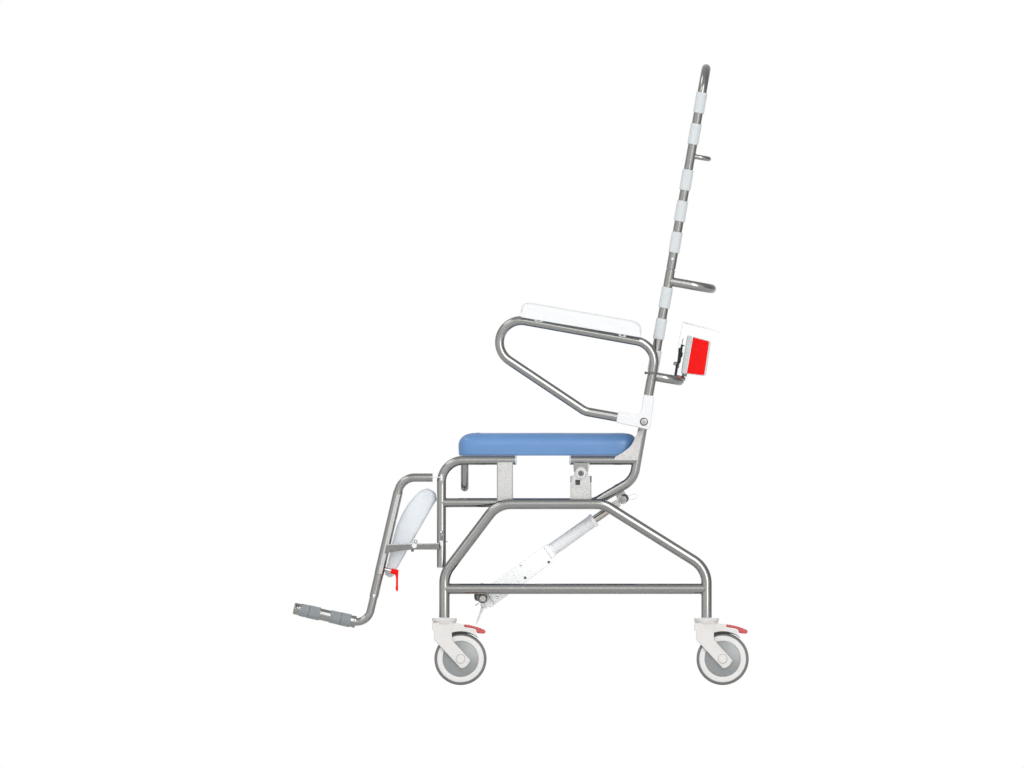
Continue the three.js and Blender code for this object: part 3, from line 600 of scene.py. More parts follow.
DARK = finish("dark_steel", (0.045, 0.045, 0.045), (0.085, 0.083, 0.08), rough=(0.35, 0.5), metallic=0.6,
              grain=(80.0, 4.0), bump=(900.0, 0.1, 0.0003))
# near black: the brake spring's own colour, and painted shade in the castor's crescents
BLACK = finish("black_spring_and_painted_shade", (0.012, 0.012, 0.012), (0.03, 0.03, 0.03), rough=(0.5, 0.7), grain=(120.0, 3.0))
NYLON = finish("castor_nylon", (0.625, 0.608, 0.59), (0.69, 0.672, 0.658), rough=(0.42, 0.55), grain=(520.0, 3.0),
               bump=(1300.0, 0.12, 0.0003), blotch=(30.0, (0.605, 0.588, 0.57), 0.35))
RIM = finish("wheel_rim", (0.645, 0.637, 0.622), (0.705, 0.695, 0.68), rough=(0.38, 0.5), grain=(480.0, 3.0), bump=(1300.0, 0.08, 0.0003))
TYRE = finish("grey_tyre", (0.125, 0.128, 0.125), (0.185, 0.188, 0.182), rough=(0.5, 0.65), grain=(240.0, 4.0),
              bump=(900.0, 0.2, 0.0003), blotch=(40.0, (0.20, 0.20, 0.19), 0.4))
HUB = finish("hub_cover", (0.205, 0.215, 0.217), (0.255, 0.267, 0.27), rough=(0.26, 0.34), grain=(420.0, 3.0), bump=(1200.0, 0.1, 0.0003),
             specular=0.9)
PEDAL = finish("pedal_red", (0.425, 0.045, 0.053), (0.59, 0.09, 0.098), rough=(0.3, 0.42), grain=(340.0, 4.0), bump=(1000.0, 0.12, 0.0003))
RED = finish("bright_red", (0.82, 0.006, 0.005), (0.90, 0.012, 0.010), rough=(0.5, 0.62), grain=(260.0, 3.0), bump=(1100.0, 0.08, 0.0003),
             specular=0.08)
SKIN = finish("cushion_skin", (0.084, 0.205, 0.43), (0.124, 0.272, 0.55), rough=(0.42, 0.55), grain=(520.0, 4.0),
              bump=(700.0, 0.18, 0.0004), blotch=(14.0, (0.086, 0.215, 0.45), 0.4), coat=0.45, specular=0.4, contrast=(0.25, 0.75))
PAD = finish("pad_skin", (0.725, 0.742, 0.748), (0.79, 0.802, 0.808), rough=(0.45, 0.58), grain=(300.0, 4.0),
             bump=(800.0, 0.18, 0.0004), blotch=(20.0, (0.72, 0.74, 0.75), 0.4))
MOULD = finish("white_mould", (0.70, 0.715, 0.722), (0.78, 0.79, 0.795), rough=(0.4, 0.52), grain=(360.0, 3.0),
               bump=(1000.0, 0.14, 0.0004), blotch=(28.0, (0.70, 0.717, 0.725), 0.4))
CAP = finish("end_cap", (0.50, 0.55, 0.60), (0.60, 0.65, 0.70), rough=(0.4, 0.5), grain=(300.0, 3.0), bump=(1100.0, 0.08, 0.0003))
CALF = finish("calf_skin", (0.665, 0.70, 0.74), (0.745, 0.78, 0.82), rough=(0.4, 0.5), grain=(380.0, 4.0),
              bump=(900.0, 0.16, 0.0004), blotch=(16.0, (0.65, 0.685, 0.72), 0.4))
CASE = finish("actuator_case", (0.835, 0.845, 0.853), (0.893, 0.902, 0.909), rough=(0.38, 0.5), grain=(420.0, 3.0), bump=(1200.0, 0.05, 0.0002))
JACKET = finish("actuator_tube", (0.70, 0.72, 0.732), (0.765, 0.782, 0.795), rough=(0.42, 0.5), grain=(520.0, 3.0), bump=(1400.0, 0.05, 0.0002))
RELIEF = finish("strain_relief", (0.72, 0.71, 0.695), (0.82, 0.81, 0.795), rough=(0.5, 0.6), grain=(520.0, 3.0), bump=(1400.0, 0.1, 0.0002))
BOX = finish("box_shell", (0.52, 0.575, 0.57), (0.62, 0.67, 0.665), rough=(0.42, 0.55), grain=(420.0, 4.0), bump=(1000.0, 0.14, 0.0003))
SHEET = finish("cover_sheet", (0.79, 0.80, 0.805), (0.86, 0.87, 0.87), rough=(0.35, 0.45), grain=(200.0, 3.0), bump=(900.0, 0.05, 0.0002))
SCREW = finish("screw_dark", (0.06, 0.06, 0.062), (0.12, 0.12, 0.12), rough=(0.3, 0.4), metallic=0.7, grain=(200.0, 3.0))
WEB = woven("white_webbing", (0.625, 0.66, 0.675), (0.705, 0.735, 0.75))
FOOTWEB = woven("grey_webbing", (0.235, 0.26, 0.27), (0.29, 0.315, 0.325), pitch=0.0018)
skin_shader = next(q for q in SKIN.node_tree.nodes if q.type == "BSDF_PRINCIPLED")
skin_shader.inputs["Coat Roughness"].default_value = 0.22
skin_shader.inputs["Coat IOR"].default_value = 1.6
THREAD = finish("stitching", (0.62, 0.65, 0.67), (0.75, 0.78, 0.80), rough=(0.7, 0.85), grain=(700.0, 3.0), bump=(2200.0, 0.3, 0.0002))


def turn_x(profile, u, v, s, n=40):
    """Turned about a line along x: (radius, x) pairs in millimetres, x counted outward on side s."""
    return lathe([(r * MM, x * MM) for r, x in profile], Vector((0, yof(u), zof(v))), Vector((s, 0, 0)), n)


def hex_x(x, u, v, s, across, height, turn=0.3):
    return hexagon(Vector((s * x * MM, yof(u), zof(v))), Vector((s, 0, 0)), across * MM, height * MM, turn)


def rib(path, widthways, width, thick, start=0.0, closed=False, edge=0.0006, across=6, crown=0.0):
    """A strap along a path: its width lies along widthways, its thickness square to both.
    Returns the mesh and each point's place along and across the strap."""
    n = len(path)
    wd = widthways.normalized()
    rings, run = [], []
    dist = start
    for i in range(n):
        if closed:
            t = (path[(i + 1) % n] - path[i - 1]).normalized()
        else:
            t = (path[min(i + 1, n - 1)] - path[max(i - 1, 0)]).normalized()
        if i:
            dist += (path[i] - path[i - 1]).length
        nr = t.cross(wd).normalized()
        ring, rr = [], []
        hw, ht = width / 2, thick / 2
        for k in range(across + 1):
            q = -hw + edge + (width - 2 * edge) * k / across
            ring.append(path[i] + wd * q + nr * (ht + crown * (1 - (q / hw) ** 2)))
            rr.append((dist, q, 0.0))
        ring.append(path[i] + wd * hw)
        rr.append((dist, hw, 0.0))
        for k in range(across, -1, -1):
            q = -hw + edge + (width - 2 * edge) * k / across
            ring.append(path[i] + wd * q - nr * (ht - crown * (1 - (q / hw) ** 2)))
            rr.append((dist, q, 0.0))
        ring.append(path[i] - wd * hw)
        rr.append((dist, -hw, 0.0))
        rings.append(ring)
        run += rr
    return skin(rings, closed), run


def stitches(points, normal, length=0.0028, gap=0.0012, r=0.00032):
    """A row of thread stitches along a line of points: short capsules lying on the surface."""
    verts, faces = [], []
    total = 0.0
    seg = []
    for a, b in zip(points, points[1:]):
        seg.append((total, a, b))
        total += (b - a).length
    n = int(total // (length + gap))
    for k in range(n):
        d = k * (length + gap) + gap / 2
        ends = []
        for q in (d, d + length):
            s0, a, b = [x for x in seg if x[0] <= q + 1e-9][-1]
            ends.append(a.lerp(b, min(1.0, (q - s0) / max((b - a).length, 1e-9))))
        mid = (ends[0] + ends[1]) / 2 + normal * r * 0.9
        part = tube([ends[0], mid, ends[1]], r, 6, ("dome", "dome"))
        base = len(verts)
        verts += part[0]
        faces += [tuple(i + base for i in f) for f in part[1]]
    return verts, faces


# ------------------------------------------------------------------ camera, light and floor
cam = bpy.data.cameras.new("camera")
cam.type = "ORTHO"
cam.ortho_scale = 1024 * UNIT
cam.clip_end = 50
cam_ob = bpy.data.objects.new("camera", cam)
bpy.context.scene.collection.objects.link(cam_ob)
cam_ob.location = (3.2, yof(512), zof(384))
cam_ob.rotation_euler = (math.pi / 2, 0, math.pi / 2)
bpy.context.scene.camera = cam_ob
bpy.context.scene.view_settings.view_transform = "Standard"
bpy.context.scene.view_settings.look = "None"

world = bpy.data.worlds.new("studio")
bpy.context.scene.world = world
world.use_nodes = True
wt = world.node_tree
wt.nodes.clear()
WN, WL = wt.nodes.new, wt.links.new


def wmath(op, a, b=None, c=None):
    n = WN("ShaderNodeMath")
    n.operation = op
    for i, x in enumerate((a, b, c)):
        if x is None:
            continue
        if isinstance(x, (int, float)):
            n.inputs[i].default_value = x
        else:
            WL(x, n.inputs[i])
    return n.outputs[0]


def wstep(x, lo, hi):
    n = WN("ShaderNodeMapRange")
    n.interpolation_type = "SMOOTHSTEP"
    WL(x, n.inputs["Value"])
    n.inputs["From Min"].default_value = lo
    n.inputs["From Max"].default_value = hi
    return n.outputs[0]


def wwindow(x, lo, hi, soft):
    return wmath("MULTIPLY", wstep(x, lo - soft, lo + soft), wmath("SUBTRACT", 1.0, wstep(x, hi - soft, hi + soft)))


def wcurve(x, lo, hi, stops):
    """Piecewise curve: stops are (x, value) with value up to 4."""
    n = WN("ShaderNodeMapRange")
    WL(x, n.inputs["Value"])
    n.inputs["From Min"].default_value = lo
    n.inputs["From Max"].default_value = hi
    r = WN("ShaderNodeValToRGB")
    WL(n.outputs[0], r.inputs[0])
    el = r.color_ramp.elements
    while len(el) > 1:
        el.remove(el[-1])
    for i, (p, v) in enumerate(stops):
        e = el[0] if i == 0 else el.new((p - lo) / (hi - lo))
        e.position = (p - lo) / (hi - lo)
        e.color = (v / 4, v / 4, v / 4, 1)
    return wmath("MULTIPLY", r.outputs[0], 4.0)


wco = WN("ShaderNodeTexCoord")
wse = WN("ShaderNodeSeparateXYZ")
WL(wco.outputs["Generated"], wse.inputs[0])
deg = 180 / math.pi
el_ = wmath("MULTIPLY", wmath("ARCSINE", wse.outputs[2]), deg)
az_ = wmath("MULTIPLY", wmath("ARCTAN2", wse.outputs[1], wse.outputs[0]), deg)
V_ = wcurve(el_, -90, 90, [(-90, 0.80), (-63, 0.90), (-39, 0.98), (-16, 1.10), (6, 0.98), (20, 0.90), (30, 0.86), (51, 0.69), (77, 0.575), (90, 0.55)])
H_ = wcurve(az_, -180, 180, [(-180, 0.80), (-130, 0.66), (-97, 0.62), (-67, 0.94), (-43, 1.09), (-20, 1.04), (0, 1.0), (30, 1.0),
                             (47, 1.04), (62, 0.69), (73, 0.42), (103, 0.31), (130, 0.40), (180, 0.78)])
flat_ = wmath("COSINE", wmath("MULTIPLY", el_, 1 / deg))
Hm = wmath("ADD", 1.0, wmath("MULTIPLY", wmath("SUBTRACT", H_, 1.0), flat_))
env = wmath("MULTIPLY", V_, Hm)
key = wmath("MULTIPLY", wwindow(az_, 10, 33, 2.0), wwindow(el_, -1.5, 50, 1.2))
env = wmath("ADD", env, wmath("MULTIPLY", key, 3.6))
key_foot = wmath("MULTIPLY", wwindow(az_, 1.9, 10, 0.7), wwindow(el_, 3, 20, 1.5))
env = wmath("ADD", env, wmath("MULTIPLY", key_foot, 2.4))
strip = wmath("MULTIPLY", wwindow(az_, -60, 14, 4), wwindow(el_, 26.0, 31.0, 1.0))
env = wmath("ADD", env, wmath("MULTIPLY", strip, 1.3))
overhead = wmath("MULTIPLY", wwindow(az_, -112, -66, 4), wwindow(el_, 45, 66, 2))
env = wmath("ADD", env, wmath("MULTIPLY", overhead, 2.2))
corner_light = wmath("MULTIPLY", wwindow(az_, -44, -22, 3), wwindow(el_, 38, 49, 1.5))
env = wmath("ADD", env, wmath("MULTIPLY", corner_light, 2.4))
lp = WN("ShaderNodeLightPath")
wmix = WN("ShaderNodeMix")
wmix.data_type = "FLOAT"
WL(lp.outputs["Is Camera Ray"], wmix.inputs["Factor"])
WL(env, wmix.inputs["A"])
wmix.inputs["B"].default_value = 1.0
wbg = WN("ShaderNodeBackground")
WL(wmix.outputs["Result"], wbg.inputs["Strength"])
wbg.inputs["Color"].default_value = (1, 1, 1, 1)
wout = WN("ShaderNodeOutputWorld")
WL(wbg.outputs[0], wout.inputs["Surface"])

floor_mat = finish("studio_floor", (0.90, 0.90, 0.90), (0.93, 0.93, 0.93), rough=(0.7, 0.85), grain=(12.0, 3.0), bump=(60.0, 0.02, 0.001))
fm = bpy.data.meshes.new("floor")
fm.from_pydata([(-4, -4, 0), (4, -4, 0), (4, 4, 0), (-4, 4, 0)], [], [(0, 1, 2, 3)])
fm.materials.append(floor_mat)
floor = bpy.data.objects.new("floor", fm)
bpy.context.scene.collection.objects.link(floor)

# ------------------------------------------------------------------ base
PIV = (581.1, 473.2)
LOW = (482.8, 598.7)
UP = (622.9, 499.5)
EX, EY, EZ = Vector((1, 0, 0)), Vector((0, 1, 0)), Vector((0, 0, 1))

for name, s in SIDES:
    X = s * HOOP_X
    hoop = bend([P(X, 444.4, 617.8), P(X, 444.4, 574.1), P(X, 497.5, 503.97), P(X, 603.45, 503.97),
                 P(X, 706.53, 568.4), P(X, 706.53, 617.8)], 0.0656, 4)
    b = Build()
    b.add(tube(dense(hoop), 0.0127, 40, ("open", "open"), bore=0.0111, depth=0.037))
    b.add(tube([P(X, 444.4, 588.77), P(X, 575, 588.77), P(X, 706.53, 588.77)], 0.0127, 40, ("plain", "plain")))
    b.add(weld(P(X, 444.4, 588.77), EY, EZ, 0.0127, 0.0127), 1)
    b.add(weld(P(X, 706.53, 588.77), -EY, EZ, 0.0127, 0.0127), 1)
    # plastic insert between each leg and its castor
    for u in (444.4, 706.53):
        b.add(lathe([(0.0102, zof(617.4)), (0.0126, zof(617.4)), (0.0130, zof(617.45)), (0.0134, zof(617.75)),
                     (0.0134, zof(617.95)), (0.0102, zof(617.95))], Vector((X * MM, yof(u), 0)), EZ, 40, closed=True), 2)
    piece(f"hoop_{name}", b, [STEEL, WELD, CAP], "base", [f"base_side_{name}"], 50)

b = Build()
b.add(tube([P(-HOOP_X + 4, 482, 588.77), P(0, 482, 588.77), P(HOOP_X - 4, 482, 588.77)], 0.0127, 40, ("plain", "plain")))
b.add(tube([P(-HOOP_X + 4, 444.4, 588.77), P(0, 444.4, 588.77), P(HOOP_X - 4, 444.4, 588.77)], 0.0111, 36, ("plain", "plain")))
b.add(tube([P(ACT_X, 444.4, 588.77), P(ACT_X, 481, 588.77)], 0.007, 24, ("plain", "plain")))
for s in (1, -1):
    b.add(weld(P(s * HOOP_X, 482, 588.77), EX * -s, EY, 0.0127, 0.0127), 1)
    b.add(weld(P(s * HOOP_X, 444.4, 588.77), EX * -s, EY, 0.0111, 0.0127), 1)
tie = EY
b.add(weld(P(ACT_X, 444.4, 588.77), tie, EX, 0.007, 0.0111), 1)
b.add(weld(P(ACT_X, 481, 588.77), -tie, EX, 0.007, 0.0127), 1)
lug = [[476.6, 587], [486.4, 587], [486.7, 598.4], [485.0, 601.6], [481.6, 603.0], [478.2, 601.6], [476.3, 598.4]]
for dx in (-19.5, 15.5):
    b.add(side(lug, ACT_X + dx, ACT_X + dx + 4, [0, 0, 0.006, 0.008, 0.010, 0.008, 0.006], bevel=0.0005), 2)
b.add(side([[474.2, 593.2], [478.8, 593.0], [478.6, 600.9], [475.6, 600.7], [474.2, 598.0]], ACT_X + 15.6, ACT_X + 18.6, [0.0006, 0.0006, 0.001, 0.002, 0.002], bevel=0.0005), 3)
piece("base_crossbars", b, [STEEL, WELD, GREY, DARK], "base", ["base_cross"], 50)
b = Build()
b.add(turn_x([(0, 158), (4.5, 158), (4.5, 202), (0, 202)], *LOW, 1, 32))
b.add(turn_x([(0, 199.5), (10.9, 199.5), (11.4, 200.0), (11.4, 201.8), (10.6, 202.9), (9.3, 203.4), (8.3, 203.2), (7.9, 202.4), (0, 202.2)], *LOW, 1, 48), 0)
b.add(turn_x([(0, 202.0), (7.2, 202.0), (7.5, 202.4), (7.5, 203.3), (6.9, 203.9), (2.6, 203.9), (2.3, 203.6), (2.1, 202.9), (0, 202.8)], *LOW, 1, 44), 1)
b.add(hex_x(-160.5, *LOW, -1, 13, 4.2), 0)
piece("foot_pin_bolt", b, [GREY, BOLT], "base", (), 30)

for name, s in SIDES:
    web = [[571.6, 501.5], [571.6, 477.6], [573.1, 475.4], [574.9, 471.8], [576.1, 469.4], [577.8, 467.8], [579.8, 466.9],
           [582.4, 466.9], [584.4, 467.8], [586.1, 469.4], [587.2, 471.8], [589.0, 475.4], [590.3, 477.6], [590.3, 501.5]]
    hole = disc2(yof(PIV[0]), zof(PIV[1]), 0.0054)
    slot_ = rounded(uv([[575.3, 479.8], [580, 479.8], [580, 485], [575.3, 485]]), 0.0015, 4)
    b = Build()
    b.add(side(web, s * 241, s * 244, [0, 0.004, 0.004, 0.006, 0.006, 0.006, 0.006, 0.006, 0.006, 0.006, 0.006, 0.004, 0.004, 0],
               [hole, slot_], bevel=0.0005))
    b.add(side([[570.2, 500.4], [570.2, 483.4], [570.9, 482.8], [572.4, 482.8], [572.4, 500.4]], s * 232.0, s * 243.2, 0.0008, bevel=0.0008, seg=3), 0)
    b.add(side([[590.5, 500.4], [590.5, 483.4], [590.9, 483.0], [591.6, 483.6], [591.6, 500.4]], s * 232.0, s * 243.0, 0.0006, bevel=0.0006, seg=3), 0)
    b.add(side([[589.9, 500.6], [589.9, 483.2], [590.6, 483.2], [590.6, 500.6]], s * 238.0, s * 243.3, 0.0002, bevel=0.0002, seg=1), 3)
    # dark blocks behind the cheeks, showing at both edges: painted shade in the gaps there
    b.add(side([[570.2, 482.6], [570.2, 476.0], [572.6, 476.0], [572.6, 482.6]], s * 234.0, s * 242.4, 0.0008, bevel=0.0006), 3)
    b.add(side([[589.6, 482.8], [589.6, 476.0], [591.6, 476.0], [591.6, 482.8]], s * 234.0, s * 242.4, 0.0008, bevel=0.0006), 2)
    # the blanked slot's back plate
    b.add(side([[574.6, 479.2], [580.6, 479.2], [580.6, 485.6], [574.6, 485.6]], s * 239.2, s * 240.8, 0.001), 2)
    piece(f"tilt_bracket_{name}", b, [PLATE, BOLT, DARK, CLEVIS], "base", [f"pivot_bracket_{name}"], 40)
    b = Build()
    b.add(turn_x([(0, 224), (5, 224), (5, 250), (0, 250)], *PIV, s, 28), 0)
    b.add(turn_x([(5.0, 231.5), (8.6, 231.5), (9, 231.9), (9, 240.2), (8.6, 240.6), (5.0, 240.6)], *PIV, s, 40), 3)
    b.add(hex_x(219.0, *PIV, s, 13.2, 6.6), 0)
    b.add(turn_x([(5.6, 244.5), (13.7, 244.5), (14.1, 244.9), (14.1, 245.8), (13.7, 246.2), (5.6, 246.2)], *PIV, s, 56), 1)
    b.add(turn_x([(5.6, 246.2), (10.8, 246.2), (11.2, 246.6), (11.2, 247.9), (10.8, 248.4), (7.6, 248.4), (7.4, 248.0), (5.6, 248.0)], *PIV, s, 56), 3)
    b.add(turn_x([(0, 247.5), (6.6, 247.5), (7.0, 247.9), (7.0, 251.6), (6.2, 252.8), (5.4, 253.0), (2.6, 253.0), (2.3, 252.7),
                  (2.2, 250.6), (0, 250.4)], *PIV, s, 44), 2)
    # dark disc at the bottom of the head's recess: painted shade in the recess
    b.add(turn_x([(0, 250.2), (2.15, 250.2), (2.15, 250.8), (0, 250.8)], *PIV, s, 24), 4)
    piece(f"tilt_bolt_{name}", b, [BOLT, PLATE, GREY, MOULD, DARK], "base", [f"pivot_bolt_{name}"], 30)

# ------------------------------------------------------------------ castors
AX = (16.1, 658.9)
AY, AZ = AX[0] * UNIT, zof(AX[1])


def cq(pts):
    return [(a * UNIT, zof(v)) for a, v in pts]


def castor(place, name, s, u):
    org = Vector((s * HOOP_X * MM, yof(u), 0))
    basis = (EY, EZ, EX, org)
    fork_b, wheel_b, pedal_b = f"fork_{place}_{name}", f"wheel_{place}_{name}", f"pedal_{place}_{name}"
    leg = [(-12.3, 622.9), (-12.3, 629.6), (-10.4, 631.4), (-10.4, 639.7), (16.3, 668.4), (19.6, 668.0), (23.0, 665.6),
           (26.1, 660.3), (10.3, 642.9), (7.5, 639), (7.5, 622.9)]
    rl = [0.001, 0.003, 0.004, 0.012, 0.003, 0.012, 0.014, 0.003, 0.012, 0.010, 0.001]
    b = Build()
    cheek = rounded(cq(leg), rl, 8)
    for x0, x1 in ((17.4, 24.2), (-24.2, -17.4)):
        b.add(slab(cheek, x0 * MM, x1 * MM, bevel=0.0022, seg=4, basis=basis))
    # crown over the wheel: the same outline outside the wheel's clearance circle
    R = 66.8 * MM
    cu0, cu1 = (-6.75 * UNIT, zof(643.6)), (7.5 * UNIT, zof(632.8))
    a0 = math.atan2(cu0[1] - AZ, cu0[0] - AY)
    a1 = math.atan2(cu1[1] - AZ, cu1[0] - AY)
    arc = [(AY + R * math.cos(a0 + (a1 - a0) * k / 14), AZ + R * math.sin(a0 + (a1 - a0) * k / 14)) for k in range(15)]
    crown = rounded(cq([(-12.3, 622.9), (-12.3, 629.6), (-10.4, 631.4), (-10.4, 639.7)]), [0, 0.003, 0.004, 0], 6) + arc + cq([(7.5, 622.9)])
    b.add(slab(crown, -24.0 * MM, 24.0 * MM, bevel=0.0022, seg=4, basis=basis))
    # turned cup with its groove, bearing washer and stem
    b.add(lathe([(0, zof(623.6)), (27.4 * MM, zof(623.6)), (28.2 * MM, zof(623.2)), (28.2 * MM, zof(622.95)), (27.2 * MM, zof(622.7)),
                 (27.2 * MM, zof(622.35)), (27.9 * MM, zof(622.1)), (29.2 * MM, zof(621.3)), (29.9 * MM, zof(620.4)), (30.1 * MM, zof(619.3)),
                 (30.1 * MM, zof(618.5)), (29.8 * MM, zof(618.25)), (29.2 * MM, zof(618.12)), (14.4 * MM, zof(618.12)), (14.0 * MM, zof(618.3)),
                 (10.0 * MM, zof(618.3)), (10.0 * MM, zof(605.2)), (9.0 * MM, zof(604.6)), (0, zof(604.6))], org, EZ, 56))
    # brake arm over the wheel, hollow above the tread
    arm_top = [(5, 623.4), (11.9, 623.3), (19.3, 624.3), (19.3, 627.4), (30.0, 629.6), (31.4, 630.6), (31.2, 633.4), (33.4, 637.0)]
    b0 = math.atan2(zof(637.0) - AZ, 33.4 * UNIT - AY)
    b1 = math.atan2(zof(634.2) - AZ, 5 * UNIT - AY)
    r_in = 67.0 * MM
    arc = [(AY + r_in * math.cos(b0 + (b1 - b0) * k / 18), AZ + r_in * math.sin(b0 + (b1 - b0) * k / 18)) for k in range(19)]
    arm = rounded(cq(arm_top), [0, 0.02, 0.001, 0.001, 0.004, 0.003, 0.004, 0], 5) + arc
    for x0, x1 in ((13.4, 21.4), (-21.4, -13.4)):
        b.add(slab(arm, x0 * MM, x1 * MM, bevel=0.0014, seg=3, basis=basis))
    b.add(slab(arm, -13.6 * MM, 13.6 * MM, bevel=0.0004, seg=1, basis=basis))
    # axle ends
    for q in (1, -1):
        b.add(lathe([(0, 23.9 * MM), (11.4 * MM, 23.9 * MM), (11.4 * MM, 24.25 * MM), (0, 24.25 * MM)],
                    org + Vector((0, AY, AZ)), EX * q, 48), 2)
        b.add(lathe([(0, 24.0 * MM), (10.6 * MM, 24.0 * MM), (10.6 * MM, 24.8 * MM), (10.1 * MM, 25.3 * MM), (8.8 * MM, 25.5 * MM), (0, 25.6 * MM)],
                    org + Vector((0, AY, AZ)), EX * q, 48), 0)
    b.add(lathe([(0, -17.6 * MM), (5.3 * MM, -17.6 * MM), (5.3 * MM, 17.6 * MM), (0, 17.6 * MM)], org + Vector((0, AY, AZ)), EX, 24), 3)
    # a dark crescent just outside each shoulder of the tyre, under the brake arm: painted shade where the arm shades
    # the tyre
    w0, w1 = math.radians(58), math.radians(112)
    outer = [(AY + 67.2 * MM * math.cos(w0 + (w1 - w0) * k / 20), AZ + 67.2 * MM * math.sin(w0 + (w1 - w0) * k / 20)) for k in range(21)]
    inner = []
    for k in range(21):
        w = w1 + (w0 - w1) * k / 20
        f = k / 20
        rr = (59.6 + 6.6 * f ** 1.3) * MM
        inner.append((AY + rr * math.cos(w), AZ + rr * math.sin(w)))
    for x0, x1 in ((15.0, 17.3), (-17.3, -15.0)):
        b.add(slab(outer + inner, x0 * MM, x1 * MM, bevel=0.0003, seg=1, basis=basis), 1)
    # return spring of the brake
    spr = [org + Vector((19.2 * MM, a * UNIT, zof(v))) for a, v in ((24.6, 632.2), (27.2, 633.6), (30.5, 635.6), (33.4, 637.6))]
    b.add(tube(spr, 0.0007, 10, ("dome", "dome")), 1)
    piece(f"fork_{place}_{name}.shell", b, [NYLON, BLACK, TYRE, BOLT], fork_b, [f"castor_fork_{place}_{name}"], 45)

    # wheel: tyre, light rim band, domed hub cover
    c = org + Vector((0, AY, AZ))
    w = Build()
    half = [(56.7, 12.8), (57.6, 14.1), (59.6, 13.7), (61.4, 12.4), (62.7, 10.6), (63.35, 8.6), (63.5, 6.0), (63.5, 2.4), (63.1, 2.0), (63.1, 1.4), (63.5, 1.0)]
    tyre = [(r * MM, x * MM) for r, x in half] + [(63.5 * MM, 0)] + [(r * MM, -x * MM) for r, x in half[::-1]]
    w.add(lathe([(55.5 * MM, 12.2 * MM)] + tyre + [(55.5 * MM, -12.2 * MM)], c, EX, 96, closed=True), 0)
    for q in (1, -1):
        w.add(lathe([(r * MM, x * MM) for r, x in ((57.0, 8.0), (57.0, 12.9), (56.5, 14.0), (55.4, 14.6), (51.0, 15.0), (45.6, 14.9), (44.2, 14.5),
                                                   (43.6, 13.6), (43.6, 8.0))], c, EX * q, 96, closed=True), 1)
        dome = []
        for k in range(13):
            r = 44.0 - (44.0 - 7.0) * k / 12
            dome.append((r * MM, (16.9 - 4.4 * (r / 44.0) ** 2) * MM))
        w.add(lathe([(44.0 * MM, 7.0 * MM)] + dome + [(6.6 * MM, 16.75 * MM), (6.4 * MM, 7.0 * MM)], c, EX * q, 96, closed=True), 2)
    w.add(lathe([(6.4 * MM, -8.4 * MM), (57.2 * MM, -8.4 * MM), (57.2 * MM, 8.4 * MM), (6.4 * MM, 8.4 * MM)], c, EX, 64, closed=True), 1)
    piece(f"wheel_{place}_{name}.built", w, [TYRE, RIM, HUB], wheel_b, [f"castor_wheel_{place}_{name}"], 35)

    # brake pedal: a curved paddle, thicker at its tip
    top = [(19.7, 624.3), (24, 624.9), (29, 625.9), (34, 627.4), (38.2, 629.0), (40.3, 629.9), (41.2, 631.2)]
    bot = [(40.9, 632.6), (39.6, 633.7), (36.0, 633.5), (33.0, 633.2), (32.2, 632.6), (31.9, 630.4), (30.8, 629.2), (28.6, 628.5), (19.7, 627.0)]
    pb = Build()
    outline = rounded(cq(top + bot), [0.0006, .01, .02, .02, .006, .003, .002, .002, .003, .01, .004, .003, .004, .003, .006, .0006], 4)
    v, f = slab(outline, -15.5 * MM, 15.5 * MM, bevel=0.0022, seg=4, basis=basis)
    pb.add((v, f))
    # raised grip ridges across the paddle
    for k in range(5):
        a = 24.0 + 3.0 * k
        vv = 624.7 + (a - 24.0) * 0.30
        q = org + Vector((0, a * UNIT, zof(vv)))
        pb.add(tube([q - EX * 0.0115, q + EX * 0.0115], 0.0009, 10, ("dome", "dome")), 1)
    piece(f"pedal_{place}_{name}.paddle", pb, [PEDAL, PEDAL], pedal_b, [f"castor_pedal_{place}_{name}"], 45)


for place, u in (("front", 444.4), ("rear", 706.53)):
    for name, s in SIDES:
        castor(place, name, s, u)

